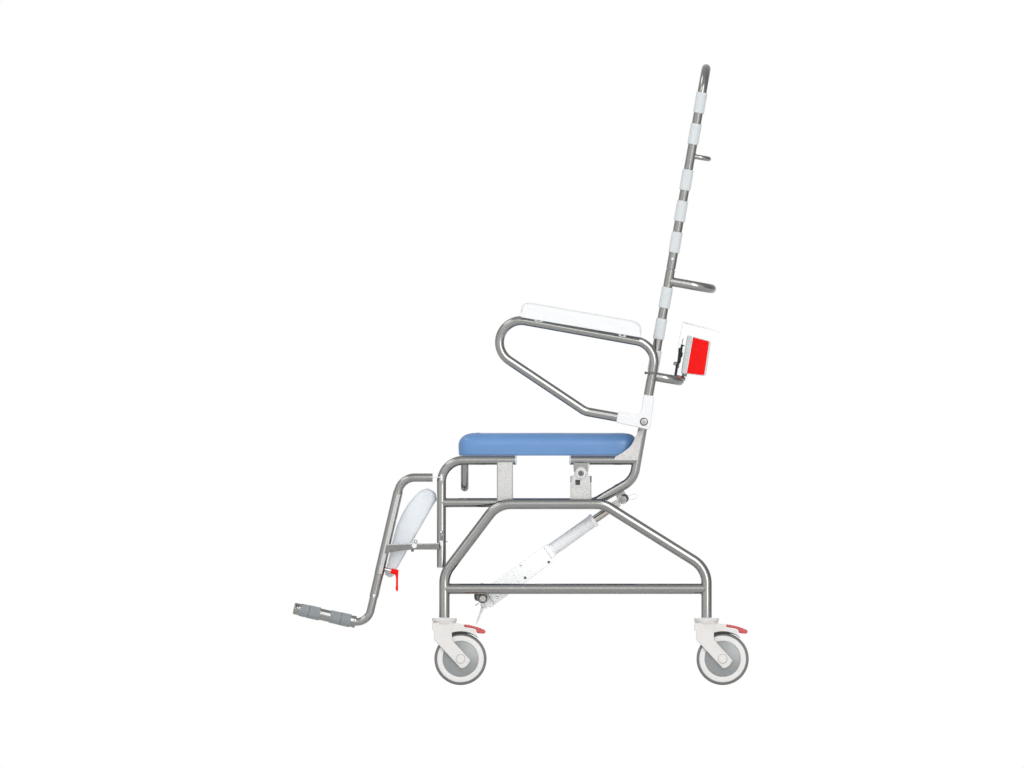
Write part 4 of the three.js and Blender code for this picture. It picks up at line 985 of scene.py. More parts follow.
# ------------------------------------------------------------------ seat frame and canes
for name, s in SIDES:
    X = s * SEAT_X
    R22, R20 = 22 * UNIT, 20 * UNIT
    front = bend([P(X, 441.45, 567.3), P(X, 441.45, 460.3), P(X, 515.4, 460.3)], R22, 4)
    cane = bend([P(X, 441.45, 502.65), P(X, 594.3, 502.65), P(X, 633.55, 479.7), P(X, cane_u(269.8), 269.8)], [R20, R22], 4)
    stub = [P(X, 570.6, 460.3), P(X, 600, 460.3), P(X, 636.4, 460.3)]
    b = Build()
    b.add(tube(dense(front), 0.0111, 56, ("round", "round")))
    b.add(tube(dense(cane), 0.0111, 56, ("plain", "round")))
    b.add(tube(stub, 0.0111, 56, ("round", "plain")))
    b.add(weld(P(X, 441.45, 502.65), EY, EZ, 0.0111, 0.0111), 1)
    up = (P(0, cane_u(200), 200) - P(0, cane_u(400), 400)).normalized()
    b.add(weld(P(X, cane_u(460.3), 460.3), -EY, up, 0.0111, 0.0111), 1)
    # plastic plugs in the open ends
    b.add(lathe([(0, -0.004), (0.0109, -0.004), (0.0110, 0.0002), (0.0111, 0.0012), (0.0108, 0.0022), (0.0098, 0.0030), (0, 0.0033)], P(X, 515.4, 460.3), EY, 36), 2)
    b.add(lathe([(0, -0.004), (0.0109, -0.004), (0.0110, 0.0002), (0.0111, 0.0012), (0.0108, 0.0022), (0.0098, 0.0030), (0, 0.0033)], P(X, 570.6, 460.3), -EY, 36), 2)
    b.add(lathe([(0, -0.004), (0.0109, -0.004), (0.0111, 0.0), (0.0111, 0.0011), (0.0104, 0.0019), (0, 0.0021)], P(X, 441.45, 567.2), -EZ, 36), 3)
    # spigot of the upper back frame
    b.add(tube([P(X, cane_u(274), 274), P(X, cane_u(246), 246)], 0.0088, 32, ("plain", "round")))
    # folded channel
    ya, yb, t_ = yof(496.9), yof(512.95), 0.0026
    xo, xi = 0.233, 0.216
    prof_u = rounded([(xi, ya), (xo, ya), (xo, yb), (xi, yb), (xi, yb - t_), (xo - t_, yb - t_), (xo - t_, ya + t_), (xi, ya + t_)],
                     [0.0006, 0.0034, 0.0034, 0.0006, 0.0006, 0.001, 0.001, 0.0006], 6)
    b.add(slab([(s * a, c) for a, c in prof_u], zof(500.9), zof(462.2), bevel=0.0005, seg=2, basis=(EX, EY, EZ, Vector((0, 0, 0)))), 4)
    # darker strips over the channel's two bends: painted shade where the bends turn away from the light
    for y0, y1, r0, r1 in ((ya - 0.0001, yof(498.1), 0.0033, 0.0002), (yof(511.7), yb + 0.0001, 0.0002, 0.0033)):
        strip = rounded([(0.2296, y0), (0.23312, y0), (0.23312, y1), (0.2296, y1)], [0.0002, r0, r1, 0.0002], 6)
        b.add(slab([(s * a, c) for a, c in strip], zof(500.85), zof(462.25), bevel=0.0002, seg=1, basis=(EX, EY, EZ, Vector((0, 0, 0)))), 9)
    # gusset
    gus = [[613.9, 460.2], [637.4, 460.2], [642.6, 430.2], [638.3, 431.2], [635.7, 436.8], [631.1, 445.5], [625, 451.1], [618.9, 454.7], [615.3, 456.7]]
    b.add(side(gus, s * 231.2, s * 234.5, [0.002, 0.002, 0.002, 0.003, 0.03, 0.03, 0.03, 0.03, 0.003], bevel=0.0006, seg=2), 6)
    # tab on the tilt pivot
    tab = [[573.2, 462.5], [589.8, 462.5], [588.6, 470], [587.4, 474.6], [585.4, 477.9], [582.6, 479.6], [579.6, 479.6], [576.8, 477.9], [574.8, 474.6], [573.6, 470]]
    b.add(side(tab, s * 226.2, s * 231.1, [0.001, 0.001] + [0.01] * 8, [disc2(yof(PIV[0]), zof(PIV[1]), 0.0054)], bevel=0.0006), 8)
    b.add(side([[588.0, 463.6], [589.7, 463.6], [588.9, 469.4], [587.6, 473.4], [587.6, 468]], s * 229.0, s * 231.7, [0.0004, 0.0006, 0.003, 0.0004, 0.003], bevel=0.0004), 4)
    # weld runs of the channel, gusset and tab
    for u0, u1, v0, x in ((497.5, 512.3, 463.6, 231.0), (497.5, 512.3, 499.2, 231.0), (574.5, 588.5, 463.4, 229.6), (616.5, 634.5, 456.4, 228.4)):
        pts = []
        k = 26
        for i in range(k + 1):
            pts.append(P(s * x, u0 + (u1 - u0) * i / k, v0 + 0.10 * math.sin(i * 1.9)))
        b.add(tube(pts, 0.0011, 8, ("dome", "dome")), 1)
    piece(f"side_frame_{name}", b, [STEEL, WELD, CAP, CAP, PLATE, DARK, PLATE, BOLT, CLEVIS, BEND_SHADE], "seat", [f"seat_side_{name}"], 45)

b = Build()
b.add(tube(dense(bend([P(216, 464.64, 461.5), P(196, 464.64, 487.5), P(-196, 464.64, 487.5), P(-216, 464.64, 461.5)], 0.015, 5)), 0.0094, 36, ("plain", "plain")))
piece("front_crossbar", b, [STEEL], "seat", ["seat_front_cross"], 45)

b = Build()
b.add(tube([P(-SEAT_X + 3, 618, 488.8), P(0, 618, 488.8), P(SEAT_X - 3, 618, 488.8)], 0.0111, 36, ("plain", "plain")))
lug = [[613.6, 488.5], [620.5, 484.8], [624, 490.5], [627.3, 497.4], [627.2, 501.2], [624.8, 503.8], [621.4, 503.8], [618.6, 501.6], [615.6, 495.3]]
pin_hole = disc2(yof(UP[0]), zof(UP[1]), 0.0044)
for dx in (-14.5, 11.5):
    b.add(side(lug, ACT_X + dx, ACT_X + dx + 3, [0.001, 0.001, 0.004, 0.01, 0.006, 0.006, 0.006, 0.006, 0.006], [pin_hole], bevel=0.0005), 3)
cd = (P(0, 633.55, 479.7) - P(0, 594.3, 502.65)).normalized()
for s in (1, -1):
    b.add(weld(P(s * SEAT_X, 618, 488.8), EX * -s, cd, 0.0111, 0.0111), 2)
# dark stop plate of the pin, outside the outer lug
stop = [[621.4, 495.6], [622.4, 494.2], [625.6, 493.6], [628.4, 496.2], [629.0, 499.2], [627.6, 501.4], [624.8, 502.4], [621.6, 502.2]]
b.add(side(stop, ACT_X + 14.4, ACT_X + 15.4, [0.002, 0.002, 0.003, 0.002, 0.001, 0.002, 0.003, 0.003], [pin_hole], bevel=0.0003), 4)
b.add(side([[614.8, 493.6], [616.2, 492.8], [619.6, 495.8], [621.8, 494.0], [622.6, 495.4], [619.2, 499.4]], ACT_X + 14.5, ACT_X + 15.3, 0.0008, bevel=0.0003), 3)
piece("rear_crossbar", b, [STEEL, BOLT, WELD, PLATE, DARK], "seat", ["seat_rear_cross"], 45)

b = Build()
b.add(turn_x([(0, 161.6), (3.4, 161.6), (4, 162.2), (4, 196), (0, 196)], *UP, 1, 28), 0)
b.add(turn_x([(0, 195.4), (6.9, 195.4), (7.1, 195.7), (7.1, 197.6), (6.6, 198.2), (5.8, 198.4), (2.8, 198.4), (2.5, 198.0), (0, 198.0)], *UP, 1, 40), 1)
b.add(turn_x([(0, 195.0), (7.9, 195.0), (8.5, 195.5), (8.5, 196.5), (8.0, 197.1), (7.2, 197.2), (7.0, 196.4), (0, 196.4)], *UP, 1, 40), 3)
wire = [(628.8, 496.4), (630.4, 495.2), (633, 494.3), (634.6, 493.9), (635.9, 494.3), (636.9, 495.4), (637.0, 497.0), (636.3, 498.5), (634.6, 499.2), (632, 499.4), (629.2, 499.7)]
wpts = [P(196.4, *q) for q in wire]
b.add(tube(wpts, 0.0007, 10, ("dome", "dome")), 2)
b.add(tube([P(192.8, 626.2, 497.6), P(196.4, 628.8, 496.4)], 0.0007, 10, ("dome", "dome")), 2)
b.add(tube([P(192.8, 626.2, 500.4), P(196.4, 629.2, 499.7)], 0.0007, 10, ("dome", "dome")), 2)
piece("quick_pin", b, [BOLT, CLEVIS, SHEET, MOULD], "seat", ["upper_pin"], 35)


def bow(u0, v0, deep, corner, step=5):
    off, near, cu, sv = deep / 2.43, 4 / 2.43, math.cos(TILT), math.sin(TILT)

    def a(x):
        return P(x, u0 + near * cu, v0 + near * sv)

    def c(x):
        return P(x, u0 + off * cu, v0 + off * sv)
    return bend([a(SEAT_X), c(SEAT_X), c(-SEAT_X), a(-SEAT_X)], corner * MM, step)


back = Vector((0, math.cos(TILT), -math.sin(TILT)))
cane_dir = Vector((0, -math.sin(TILT), math.cos(TILT))).normalized()
cane_axis = (P(0, cane_u(200), 200) - P(0, cane_u(400), 400)).normalized()
for nm, v0, deep, corner, node in (("push_bar", 281.2, 105.6, 50, "push_handle"), ("lower_back_bar", 376, 67.8, 42, "low_back_cross")):
    b = Build()
    b.add(tube(dense(bow(cane_u(v0), v0, deep, corner)), 0.0111, 56, ("plain", "plain")))
    for s in (1, -1):
        b.add(weld(P(s * SEAT_X, cane_u(v0), v0), back, cane_axis, 0.0111, 0.0111), 1)
    piece(nm, b, [STEEL, WELD], "seat", [node], 45)

# ------------------------------------------------------------------ upper back frame, buttons and webbing
b = Build()
top = 68.6
path = bend([P(SEAT_X, cane_u(269.2), 269.2), P(SEAT_X, cane_u(top), top), P(-SEAT_X, cane_u(top), top), P(-SEAT_X, cane_u(269.2), 269.2)], 0.082, 4)
b.add(tube(dense(path), 0.0111, 56, ("round", "round"), edge=0.0009))
b.add(tube(dense(bow(cane_u(155.8), 155.8, 44, 24)), 0.006, 24, ("plain", "plain")))
for s in (1, -1):
    b.add(weld(P(s * SEAT_X, cane_u(155.8), 155.8), back, cane_axis, 0.006, 0.0111), 1)
    # dark ring round each button's hole: painted shade standing for a dimple there
    b.add(lathe([(0.0036, 0.0109), (0.0043, 0.0109), (0.0043, 0.01108), (0.0036, 0.01118)], P(s * SEAT_X, cane_u(259.1), 259.1), EX * s, 32, closed=True), 1)
piece("upper_frame", b, [STEEL, WELD, DARK], "seat", ["upper_back_frame"], 45)
for name, s in SIDES:
    b = Build()
    b.add(turn_x([(0, 228.0), (3.3, 228.0), (3.3, 235.0), (3.0, 235.8), (2.2, 236.3), (0, 236.5)], cane_u(259.1), 259.1, s, 32), 0)
    piece(f"button_{name}.pin", b, [MOULD], f"button_{name}", [f"snap_button_{name}"], 35)

STRAPS = [[92.25, 113], [123.5, 144.5], [169.5, 190.25], [200.5, 221.5], [231.75, 252.75], [287.25, 308], [318.5, 339.25], [350.5, 371]]
for i, (va, vb) in enumerate(STRAPS):
    vm = (va + vb) / 2
    mid = P(0, cane_u(vm), vm)
    ax = cane_axis
    fwd = Vector((0, ax.z, -ax.y)) * -1          # towards the front, square to the cane
    r = 12.55 * MM
    pts = []
    sag = (2.2 + 0.5 * math.sin(i * 2.4)) * MM

    def run(sgn, xs):
        for k in range(len(xs)):
            x = xs[k]
            f = 1 - (x / (SEAT_X * MM)) ** 2
            dip = sag * f + 0.35 * MM * math.sin(x * 31 + i * 1.7 + sgn)
            pts.append(mid + EX * x + fwd * (sgn * (r - dip)) - ax * (0.6 * MM * f))

    xs = [SEAT_X * MM * (1 - 2 * k / 28) for k in range(29)]
    run(1, xs[::-1])
    for k in range(1, 16):
        w = math.pi / 2 - math.pi * k / 16
        pts.append(mid + EX * (SEAT_X * MM + r * math.cos(w)) + fwd * (r * math.sin(w)))
    run(-1, xs)
    for k in range(1, 16):
        w = -math.pi / 2 - math.pi * k / 16
        pts.append(mid + EX * (-SEAT_X * MM + r * math.cos(w)) + fwd * (r * math.sin(w)))
    part, place = rib(pts, ax, 0.050, 0.00165, closed=True, across=8)
    b = Build()
    b.add(part, 0, place)
    # woven edges, a little thicker than the middle
    for q in (-1, 1):
        b.add(loop_tube([p + ax * (q * 0.0243) for p in pts], 0.00098, 8, lambda k: 1.0 + 0.05 * math.sin(k * 1.3)), 0)
    # overlap at the back, closed by two rows of stitches
    over = [p for p in pts if abs(p.x - 0.11) < 0.045 and (p - mid).dot(fwd) < 0]
    over = [p - fwd * 0.0013 for p in sorted(over, key=lambda p: -p.x)]
    part, place = rib(over, ax, 0.0485, 0.0012, across=8)
    b.add(part, 0, place)
    for q in (over[1], over[-2]):
        line = [q - fwd * 0.0006 + ax * t for t in (-0.021, 0, 0.021)]
        b.add(stitches(line, -fwd), 1)
    piece(f"strap_{i + 1}", b, [WEB, THREAD], "seat", [f"back_strap_{i + 1}"], 60)

# ------------------------------------------------------------------ seat cushion: moulded foam ring, crowned, dished to the opening
def sm(x, a, b):
    t = max(0.0, min(1.0, (x - a) / (b - a)))
    return t * t * (3 - 2 * t)


y0, y1, hw = yof(458.3), yof(637.0), 0.222
z0, z1 = zof(455.72), zof(432.75)
yc = yof(556)
plan = rounded([(-hw, y0), (hw, y0), (hw, y1), (-hw, y1)], [0.032, 0.032, 0.040, 0.040], 14)


def ray_hit(cx, cy, dx, dy):
    best = None
    for i in range(len(plan)):
        ax, ay = plan[i - 1]
        bx, by = plan[i]
        ex, ey = bx - ax, by - ay
        den = dx * ey - dy * ex
        if abs(den) < 1e-12:
            continue
        t = ((ax - cx) * ey - (ay - cy) * ex) / den
        q = ((ax - cx) * dy - (ay - cy) * dx) / den
        if t > 0 and -1e-9 <= q <= 1 + 1e-9 and (best is None or t < best):
            best = t
    return cx + dx * best, cy + dy * best


NT = 220
inner_, outer_ = [], []
for k in range(NT):
    w = 2 * math.pi * k / NT
    ix = 0.104 * math.cos(w) * (1 - 0.12 * math.sin(w))
    iy = 0.132 * math.sin(w)
    inner_.append(Vector((ix, yc + iy, 0)))
    # the outer point is where the ellipse point's own ray from the centre meets the outline
    hx, hy = ray_hit(0, yc, ix, iy)
    outer_.append(Vector((hx, hy, 0)))
grid = []
for k in range(NT):
    I, O = inner_[k], outer_[k]
    to = (outer_[(k + 1) % NT] - outer_[k - 1]).normalized()
    n_out = Vector((to.y, -to.x, 0))
    if n_out.dot(O - Vector((0, yc, 0))) < 0:
        n_out = -n_out
    ti = (inner_[(k + 1) % NT] - inner_[k - 1]).normalized()
    n_in = Vector((ti.y, -ti.x, 0))
    if n_in.dot(I - Vector((0, yc, 0))) < 0:
        n_in = -n_in
    front = sm(-O.y, -(y0 + 0.06), -(y0 + 0.005))
    rear = sm(O.y, y1 - 0.06, y1 - 0.005)
    ro = 0.027 + 0.003 * front - 0.003 * rear
    ri = 0.016
    crest = z1
    lip = z1 - 0.0075 - 0.001 * math.sin(4 * math.pi * k / NT)
    col = []

    def put(base, nrm, d, z):
        q = base - nrm * d
        col.append((q.x, q.y, z))

    # underside, aperture wall, aperture edge
    put(I, -n_in, 0.006, z0 + 0.0003)
    put(I, -n_in, 0.0025, z0 + 0.0012)
    put(I, -n_in, 0.0004, z0 + 0.0045)
    put(I, -n_in, -0.0012, z0 + (lip - z0) * 0.45)
    for j in range(9):
        w = math.pi / 2 * j / 8
        put(I, -n_in, ri * (1 - math.cos(w)), lip - ri * (1 - math.sin(w)))
    A = I + n_in * ri
    B = O - n_out * ro * 1.12
    for j in range(1, 14):
        f = j / 14
        p = A.lerp(B, f)
        hgt = lip + (crest - lip) * sm(f, -0.1, 0.72)
        hgt -= 0.0012 * sm(f, 0.8, 1.0)
        col.append((p.x, p.y, hgt))
    side_top = crest - 0.0012
    for j in range(11):
        w = math.pi / 2 * j / 10
        put(O, n_out, ro * (1 - math.sin(w)) * (1.12 if j == 0 else 1.0 + 0.12 * (1 - j / 10)), side_top - ro * (1 - math.cos(w)))
    z_s = side_top - ro
    for f in (0.25, 0.5, 0.75):
        put(O, n_out, 0.0010 * f * f, z_s + (z0 + 0.0042 - z_s) * f)
    for j in range(7):
        w = math.pi / 2 * j / 6
        put(O, n_out, 0.0010 + 0.0040 * (1 - math.cos(w)), z0 + 0.0042 - 0.0039 * math.sin(w))
    put(O, n_out, 0.018, z0 + 0.0003)
    grid.append(col)
nr = len(grid[0])
verts = [p for col in grid for p in col]
faces = []
for k in range(NT):
    a, c = k * nr, ((k + 1) % NT) * nr
    for j in range(nr):
        i = (j + 1) % nr
        faces.append((a + j, c + j, c + i, a + i))
b = Build()
b.add((verts, faces))
cushion = piece("cushion", b, [SKIN], "seat", ["seat_cushion"], 70)
# hand-moulded unevenness, under half a millimetre
for v in cushion.data.vertices:
    if v.co.z > z0 + 0.004:
        q = noise.noise(Vector(v.co) * 22.0) * 0.00035 + noise.noise(Vector(v.co) * 70.0) * 0.00012
        v.co += v.normal * (q - 0.0004)

# ------------------------------------------------------------------ arms
def arm_top(u):
    return 338.0 + 0.18 * (u - 620)


def arm_low(u):
    return 414.1 + 0.18 * (u - 600)


def arm_path(s):
    X = s * ARM_X
    C, R = Vector((521.3, 342.4)), 21.8
    w0 = math.atan2(-0.9842, 0.1772)
    w1 = math.atan2(0.8308, -0.5566)
    if w1 > w0:
        w1 -= 2 * math.pi
    wm = (w0 + w1) / 2
    k = R / math.cos((w0 - wm) / 2)
    c1 = C + Vector((math.cos((w0 + wm) / 2), math.sin((w0 + wm) / 2))) * k
    c2 = C + Vector((math.cos((w1 + wm) / 2), math.sin((w1 + wm) / 2))) * k
    vc = (338.0 + 0.18 * (704.15 + 0.1766 * 80 - 620)) / (1 + 0.18 * 0.1766)
    return bend([P(X, 636.5, arm_low(636.5)), P(X, 585.3, arm_low(585.3)), P(X, c2.x, c2.y), P(X, c1.x, c1.y),
                 P(X, cane_u(vc), vc), P(X, cane_u(411), 411)],
                [18 * UNIT, R * UNIT - 1e-5, R * UNIT - 1e-5, 21 * UNIT], 4)


for name, s in SIDES:
    b = Build()
    b.add(tube(dense(arm_path(s)), 0.0111, 56, ("round", "round")))
    # seam of the insert in the rear leg
    c = P(s * ARM_X, cane_u(373.2), 373.2)
    b.add(lathe([(0.0110, -0.0004), (0.01125, -0.0003), (0.01125, 0.0003), (0.0110, 0.0004)], c, cane_axis, 40, closed=True), 1)
    # the insert below the seam is a little fuller; its locking pin crosses the outer side
    b.add(tube([P(s * ARM_X, cane_u(380), 380), P(s * ARM_X, cane_u(404), 404)], 0.0117, 56, ("round", "round"), edge=0.0007), 0)
    xp = s * (ARM_X + 12.2)
    b.add(tube([P(xp, 645.6, 372.9), P(xp, 649, 372.9), P(xp, 653.8, 372.9)], 0.0029, 28, ("round", "round"), edge=0.0008), 2)
    b.add(lathe([(0, -0.0012), (0.0031, -0.0012), (0.0036, -0.0006), (0.0036, 0.0006), (0.0028, 0.0014), (0, 0.0016)], P(xp, 645.2, 372.9), EY * -1, 32), 1)
    piece(f"arm_loop_{name}", b, [STEEL, DARK, GREY], f"arm_{name}", [f"arm_frame_{name}"], 45)
    # padded rest: crowned top, sides drawn in a little between the ends
    pad = [[520.4, 317.2], [521.0, 308.2], [523.4, 304.1], [528.2, 302.3], [580, 311.3], [634, 320.7], [639.5, 323.9], [641.7, 328.6], [640.6, 337.6]]
    outline = rounded(uv(pad), [0.003, 0.02, 0.02, 0.03, 0, 0.03, 0.02, 0.02, 0.003], 10)
    if area2(outline) < 0:
        outline = outline[::-1]
    ins = inset(outline, 0.001)
    secs = []
    rim = [9.5 * (1 - math.cos(math.pi / 2 * k / 9)) for k in range(10)]
    steps_x = [239.5 + q for q in rim] + [252, 256, 260, 264.5, 269, 273, 277] + [289.5 - q for q in rim[::-1]]
    xc = s * 264.5 * MM
    ya, yb = yof(520.4), yof(641.7)
    for x in steps_x:
        e = min(x - 239.5, 289.5 - x) * MM
        big = 0.0095 - math.sqrt(max(0.0, 0.0095 ** 2 - (0.0095 - min(e, 0.0095)) ** 2))
        low_ = 0.0022 - math.sqrt(max(0.0, 0.0022 ** 2 - (0.0022 - min(e, 0.0022)) ** 2))
        ring = []
        for (a, c), (ia, ic) in zip(outline, ins):
            line = zof(317.2 + (a / UNIT + U_MID - 520.4) * 0.1697)
            up = max(0.0, (c - line) / 0.035)
            w = sm(c - line, 0.003, 0.016)
            d = (big * w + low_ * (1 - w)) / 0.001
            dx = (x - 264.5) / 25.0
            t = (a - ya) / (yb - ya)
            pull = 1 - 0.035 * math.sin(math.pi * max(0, min(1, t))) * min(1, up * 1.5)
            ring.append(Vector((xc + s * (x - 264.5) * MM * pull, a + (ia - a) * d, c + (ic - c) * d - 0.0022 * dx * dx * min(1, up))))
        secs.append(ring)
    out, f = skin(secs)
    b = Build()
    b.add((out, f))
    ap = piece(f"pad_{name}", b, [PAD], f"arm_{name}", [f"arm_pad_{name}"], 60)
    # saddle clips that hold the pad to the tube
    b = Build()
    for ua, ub in ((533.7, 543.6), (618.2, 626.5)):
        um = (ua + ub) / 2
        vt = arm_top(um) - 4.57
        pts = [[ua, vt - 0.9 - 0.9], [ub, vt + 0.9 - 0.9], [ub - 0.6, vt + 3.6], [ua + 0.6, vt + 2.4]]
        b.add(side(pts, s * 272.6, s * 275.0, 0.002, bevel=0.0007, seg=3))
        b.add(side(pts, s * 249.0, s * 251.4, 0.002, bevel=0.0007, seg=3))
        b.add(turn_x([(0, 274.4), (2.3, 274.4), (2.3, 275.2), (1.9, 275.4), (0.9, 275.1), (0, 275.1)], um, vt + 1.5, s, 24), 1)
    piece(f"pad_clips_{name}", b, [MOULD, SCREW], f"arm_{name}", (), 40)
    # moulded angle
    shell = [[643.7, 394.4], [654.6, 396.1], [650.6, 427.1], [648.3, 429.75], [617.3, 422.9], [616.3, 420.9],
             [618.2, 411.4], [636.5, 414.4], [640.9, 412.2]]
    b = Build()
    b.add(side(shell, s * 248.5, s * 275.5, [0.0035, 0.0035, 0.004, 0.006, 0.004, 0.003, 0.003, 0.006, 0.010], bevel=0.0032, seg=5, steps=8))
    b.add(turn_x([(0, 233.8), (11.4, 233.8), (12, 234.4), (12, 249.4), (0, 249.4)], 643.9, 421.7, s, 44), 0)
    b.add(turn_x([(0, 275.2), (9.9, 275.2), (9.9, 275.75), (8.0, 275.95), (0, 275.95)], 643.9, 421.8, s, 44), 1)
    b.add(turn_x([(0, 275.3), (7.5, 275.3), (7.5, 276.4), (7.0, 276.9), (6.0, 277.0), (0, 277.0)], 643.9, 421.8, s, 44), 2)
    b.add(turn_x([(0, 276.4), (1.3, 276.4), (1.3, 277.1), (0, 277.2)], 643.9, 421.8, s, 16), 1)
    piece(f"arm_hinge_{name}", b, [MOULD, DARK, BOLT], f"arm_{name}", [f"arm_bracket_{name}"], 40)

# ------------------------------------------------------------------ leg rests
def hanger_u(v):
    return 391.6 - 0.2318 * (v - 520)


def foot_v(u):
    return 609.7 + 0.222 * (u - 300)


LT = math.atan(0.2318)
cv = (609.7 + 0.222 * (391.6 + 0.2318 * 520 - 300)) / (1 + 0.222 * 0.2318)
FOOT_CORNER = (hanger_u(cv), cv)
ACR = (math.cos(LT), math.sin(LT))
# lighter, smoother copy of the steel: a painted highlight for the sleeve's flat land
FLAT_HIGHLIGHT = finish("sleeve_flat_painted_highlight", (0.56, 0.56, 0.548), (0.62, 0.62, 0.607), rough=(0.10, 0.15), metallic=1.0, grain=(160.0, 4.0), bump=(1200.0, 0.008, 0.0002))
for name, s in SIDES:
    X = s * SEAT_X

    def H(v):
        return P(X, hanger_u(v), v)

    def off(v, d):
        """A point of the side elevation, d units to the rear of the leg tube's centre, square to it."""
        return [hanger_u(v) + ACR[0] * d, v + ACR[1] * d]

    b = Build()
    b.add(tube(dense(bend([P(X, 432.6, 477.6), P(X, hanger_u(477.6), 477.6), H(500)], 18 * UNIT * 0.93, 4)), 0.0103, 36, ("round", "plain")))
    b.add(tube([H(491.6), H(530), H(574.5)], 0.01165, 40, ("round", "round"), edge=0.0006))
    b.add(tube([H(573.5), H(585), H(597)], 0.0109, 40, ("round", "open"), bore=0.0101, depth=0.010))
    # flat land along the outer side of the sleeve, squared off at its foot. The flat itself is modelled; its lighter
    # steel is a painted highlight for the bright stripe it shows
    b.add(side([off(494, -1.05), off(494, 2.75), off(573.5, 2.75), off(573.9, -1.05)], s * 230.5, s * 234.0, 0.0004, bevel=0.0003, seg=1), 1)
    b.add(tube([H(490.9), H(491.8)], 0.0112, 40, ("plain", "plain")), 4)
    # pale triangle at the lower end of the sleeve: a painted highlight where the sleeve ends
    b.add(side([off(594.6, -1.3), off(594.4, 1.3), off(598.6, -0.1)], s * 232.4, s * 233.2, 0.0003, bevel=0.0002, seg=1), 2)
    bar = [[386.7, 544.3], [439.4, 543.4], [439.4, 549.6], [408.6, 549.6], [395, 551.5], [384.9, 553.7]]
    b.add(side(bar, s * 233.0, s * 237.6, [0.001, 0.0015, 0.0015, 0.01, 0.01, 0.001], bevel=0.0007, seg=2), 8)
    # lighter strip along the bar's top edge: painted highlight where its top face catches the light
    b.add(side([[386.8, 543.9], [439.2, 543.1], [439.2, 544.3], [386.6, 545.2]], s * 233.4, s * 238.2, 0.0004, bevel=0.0004, seg=2), 3)

    def stud(d):
        return P(X, hanger_u(568.4) + ACR[0] * d, 568.4 + ACR[1] * d)
    b.add(tube([stud(3), stud(7), stud(10.8)], 0.0052, 36, ("plain", "round")), 3)
    b.add(weld(H(568.4), stud(6) - stud(3), H(540) - H(560), 0.0052, 0.01165, 0.0010), 4)
    # head of the calf rest's pin on the bar, with the clip under it
    b.add(turn_x([(0, 237.2), (5.6, 237.2), (6.0, 237.6), (6.0, 239.0), (5.5, 239.5), (2.7, 239.5), (2.3, 239.1), (0, 239.0)], 414.3, 545.7, s, 40), 5)
    b.add(side([[410.9, 549.3], [414.1, 549.3], [413.7, 552.1], [412.6, 551.4], [411.4, 552.0]], s * 233.8, s * 236.6, 0.0005, bevel=0.0004), 6)
    # weld between the bar and the sleeve
    b.add(tube([P(s * 234.0, 386.9 - 0.222 * k * 0.8, 544.8 + k * 0.8) for k in range(11)], 0.0012, 8, ("dome", "dome")), 4)
    # latch body at the front tube: pale housing, ball end, hook
    b.add(side([[440.2, 534.6], [442.9, 534.6], [442.7, 540.9], [440.5, 540.9]], s * 233.4, s * 237.4, 0.0010, bevel=0.0008, seg=3), 7)
    for k in range(4):
        b.add(lathe([(0, -0.0006), (0.0028, -0.0006), (0.0034, -0.0002), (0.0034, 0.0002), (0.0028, 0.0006), (0, 0.0006)],
                    P(s * 236.4, 441.5, 535.9 + 1.25 * k), EZ, 24), 6 if k % 2 else 3)
    b.add(side([[439.6, 541.0], [441.0, 540.4], [443.3, 542.2], [443.1, 543.6], [441.9, 543.4], [441.8, 545.4], [440.5, 545.4], [440.4, 543.0], [439.4, 542.2]],
               s * 237.8, s * 240.4, 0.0007, bevel=0.0005, seg=3), 5)
    b.add(lathe([(0, -0.0046), (0.0020, -0.0043), (0.0036, -0.0031), (0.0045, -0.0014), (0.0047, 0.0003), (0.0042, 0.0022), (0.0031, 0.0036), (0.0016, 0.0044), (0, 0.0046)],
                P(s * 236.8, 441.4, 532.4), EZ, 32), 3)
    b.add(lathe([(0, -0.0012), (0.0017, -0.0012), (0.0021, -0.0004), (0.0021, 0.0006), (0, 0.0006)], P(s * 241.0, 441.0, 531.9), EX * s, 24), 5)
    b.add(tube([P(s * 236.2, 443.4, 542.2), P(s * 237.0, 445.6, 541.7), P(s * 236.6, 447.8, 541.4)], 0.0007, 10, ("dome", "dome")), 6)
    # release pin at the top run, with its thin plate on the front tube
    b.add(tube([P(s * 228, 431.9, 477.3), P(s * 232.6, 434.6, 477.3), P(s * 234.4, 441.8, 477.3)], 0.0013, 14, ("dome", "dome")), 5)
    b.add(side([[440.5, 474.2], [442.4, 474.2], [442.4, 480.6], [440.5, 480.6]], s * 233.4, s * 235.2, 0.0010, bevel=0.0006, seg=3), 5)
    b.add(side([[440.1, 480.4], [442.5, 480.4], [442.4, 484.2], [440.5, 484.2]], s * 233.2, s * 234.8, 0.0012, bevel=0.0005, seg=2), 7)
    piece(f"swing_hanger_{name}", b, [STEEL, FLAT_HIGHLIGHT, SHEET, BOLT, WELD, MOULD, SCREW, CLEVIS, GREY], f"hanger_{name}", [f"hanger_{name}"], 40)

    b = Build()
    b.add(tube(dense(bend([H(503), P(X, *FOOT_CORNER), P(X, 296.5, foot_v(296.5))], 14.6 * UNIT, 3)), 0.009525, 40, ("round", "round")))
    piece(f"telescope_{name}", b, [STEEL], f"leg_{name}", [f"leg_tube_{name}"], 45)

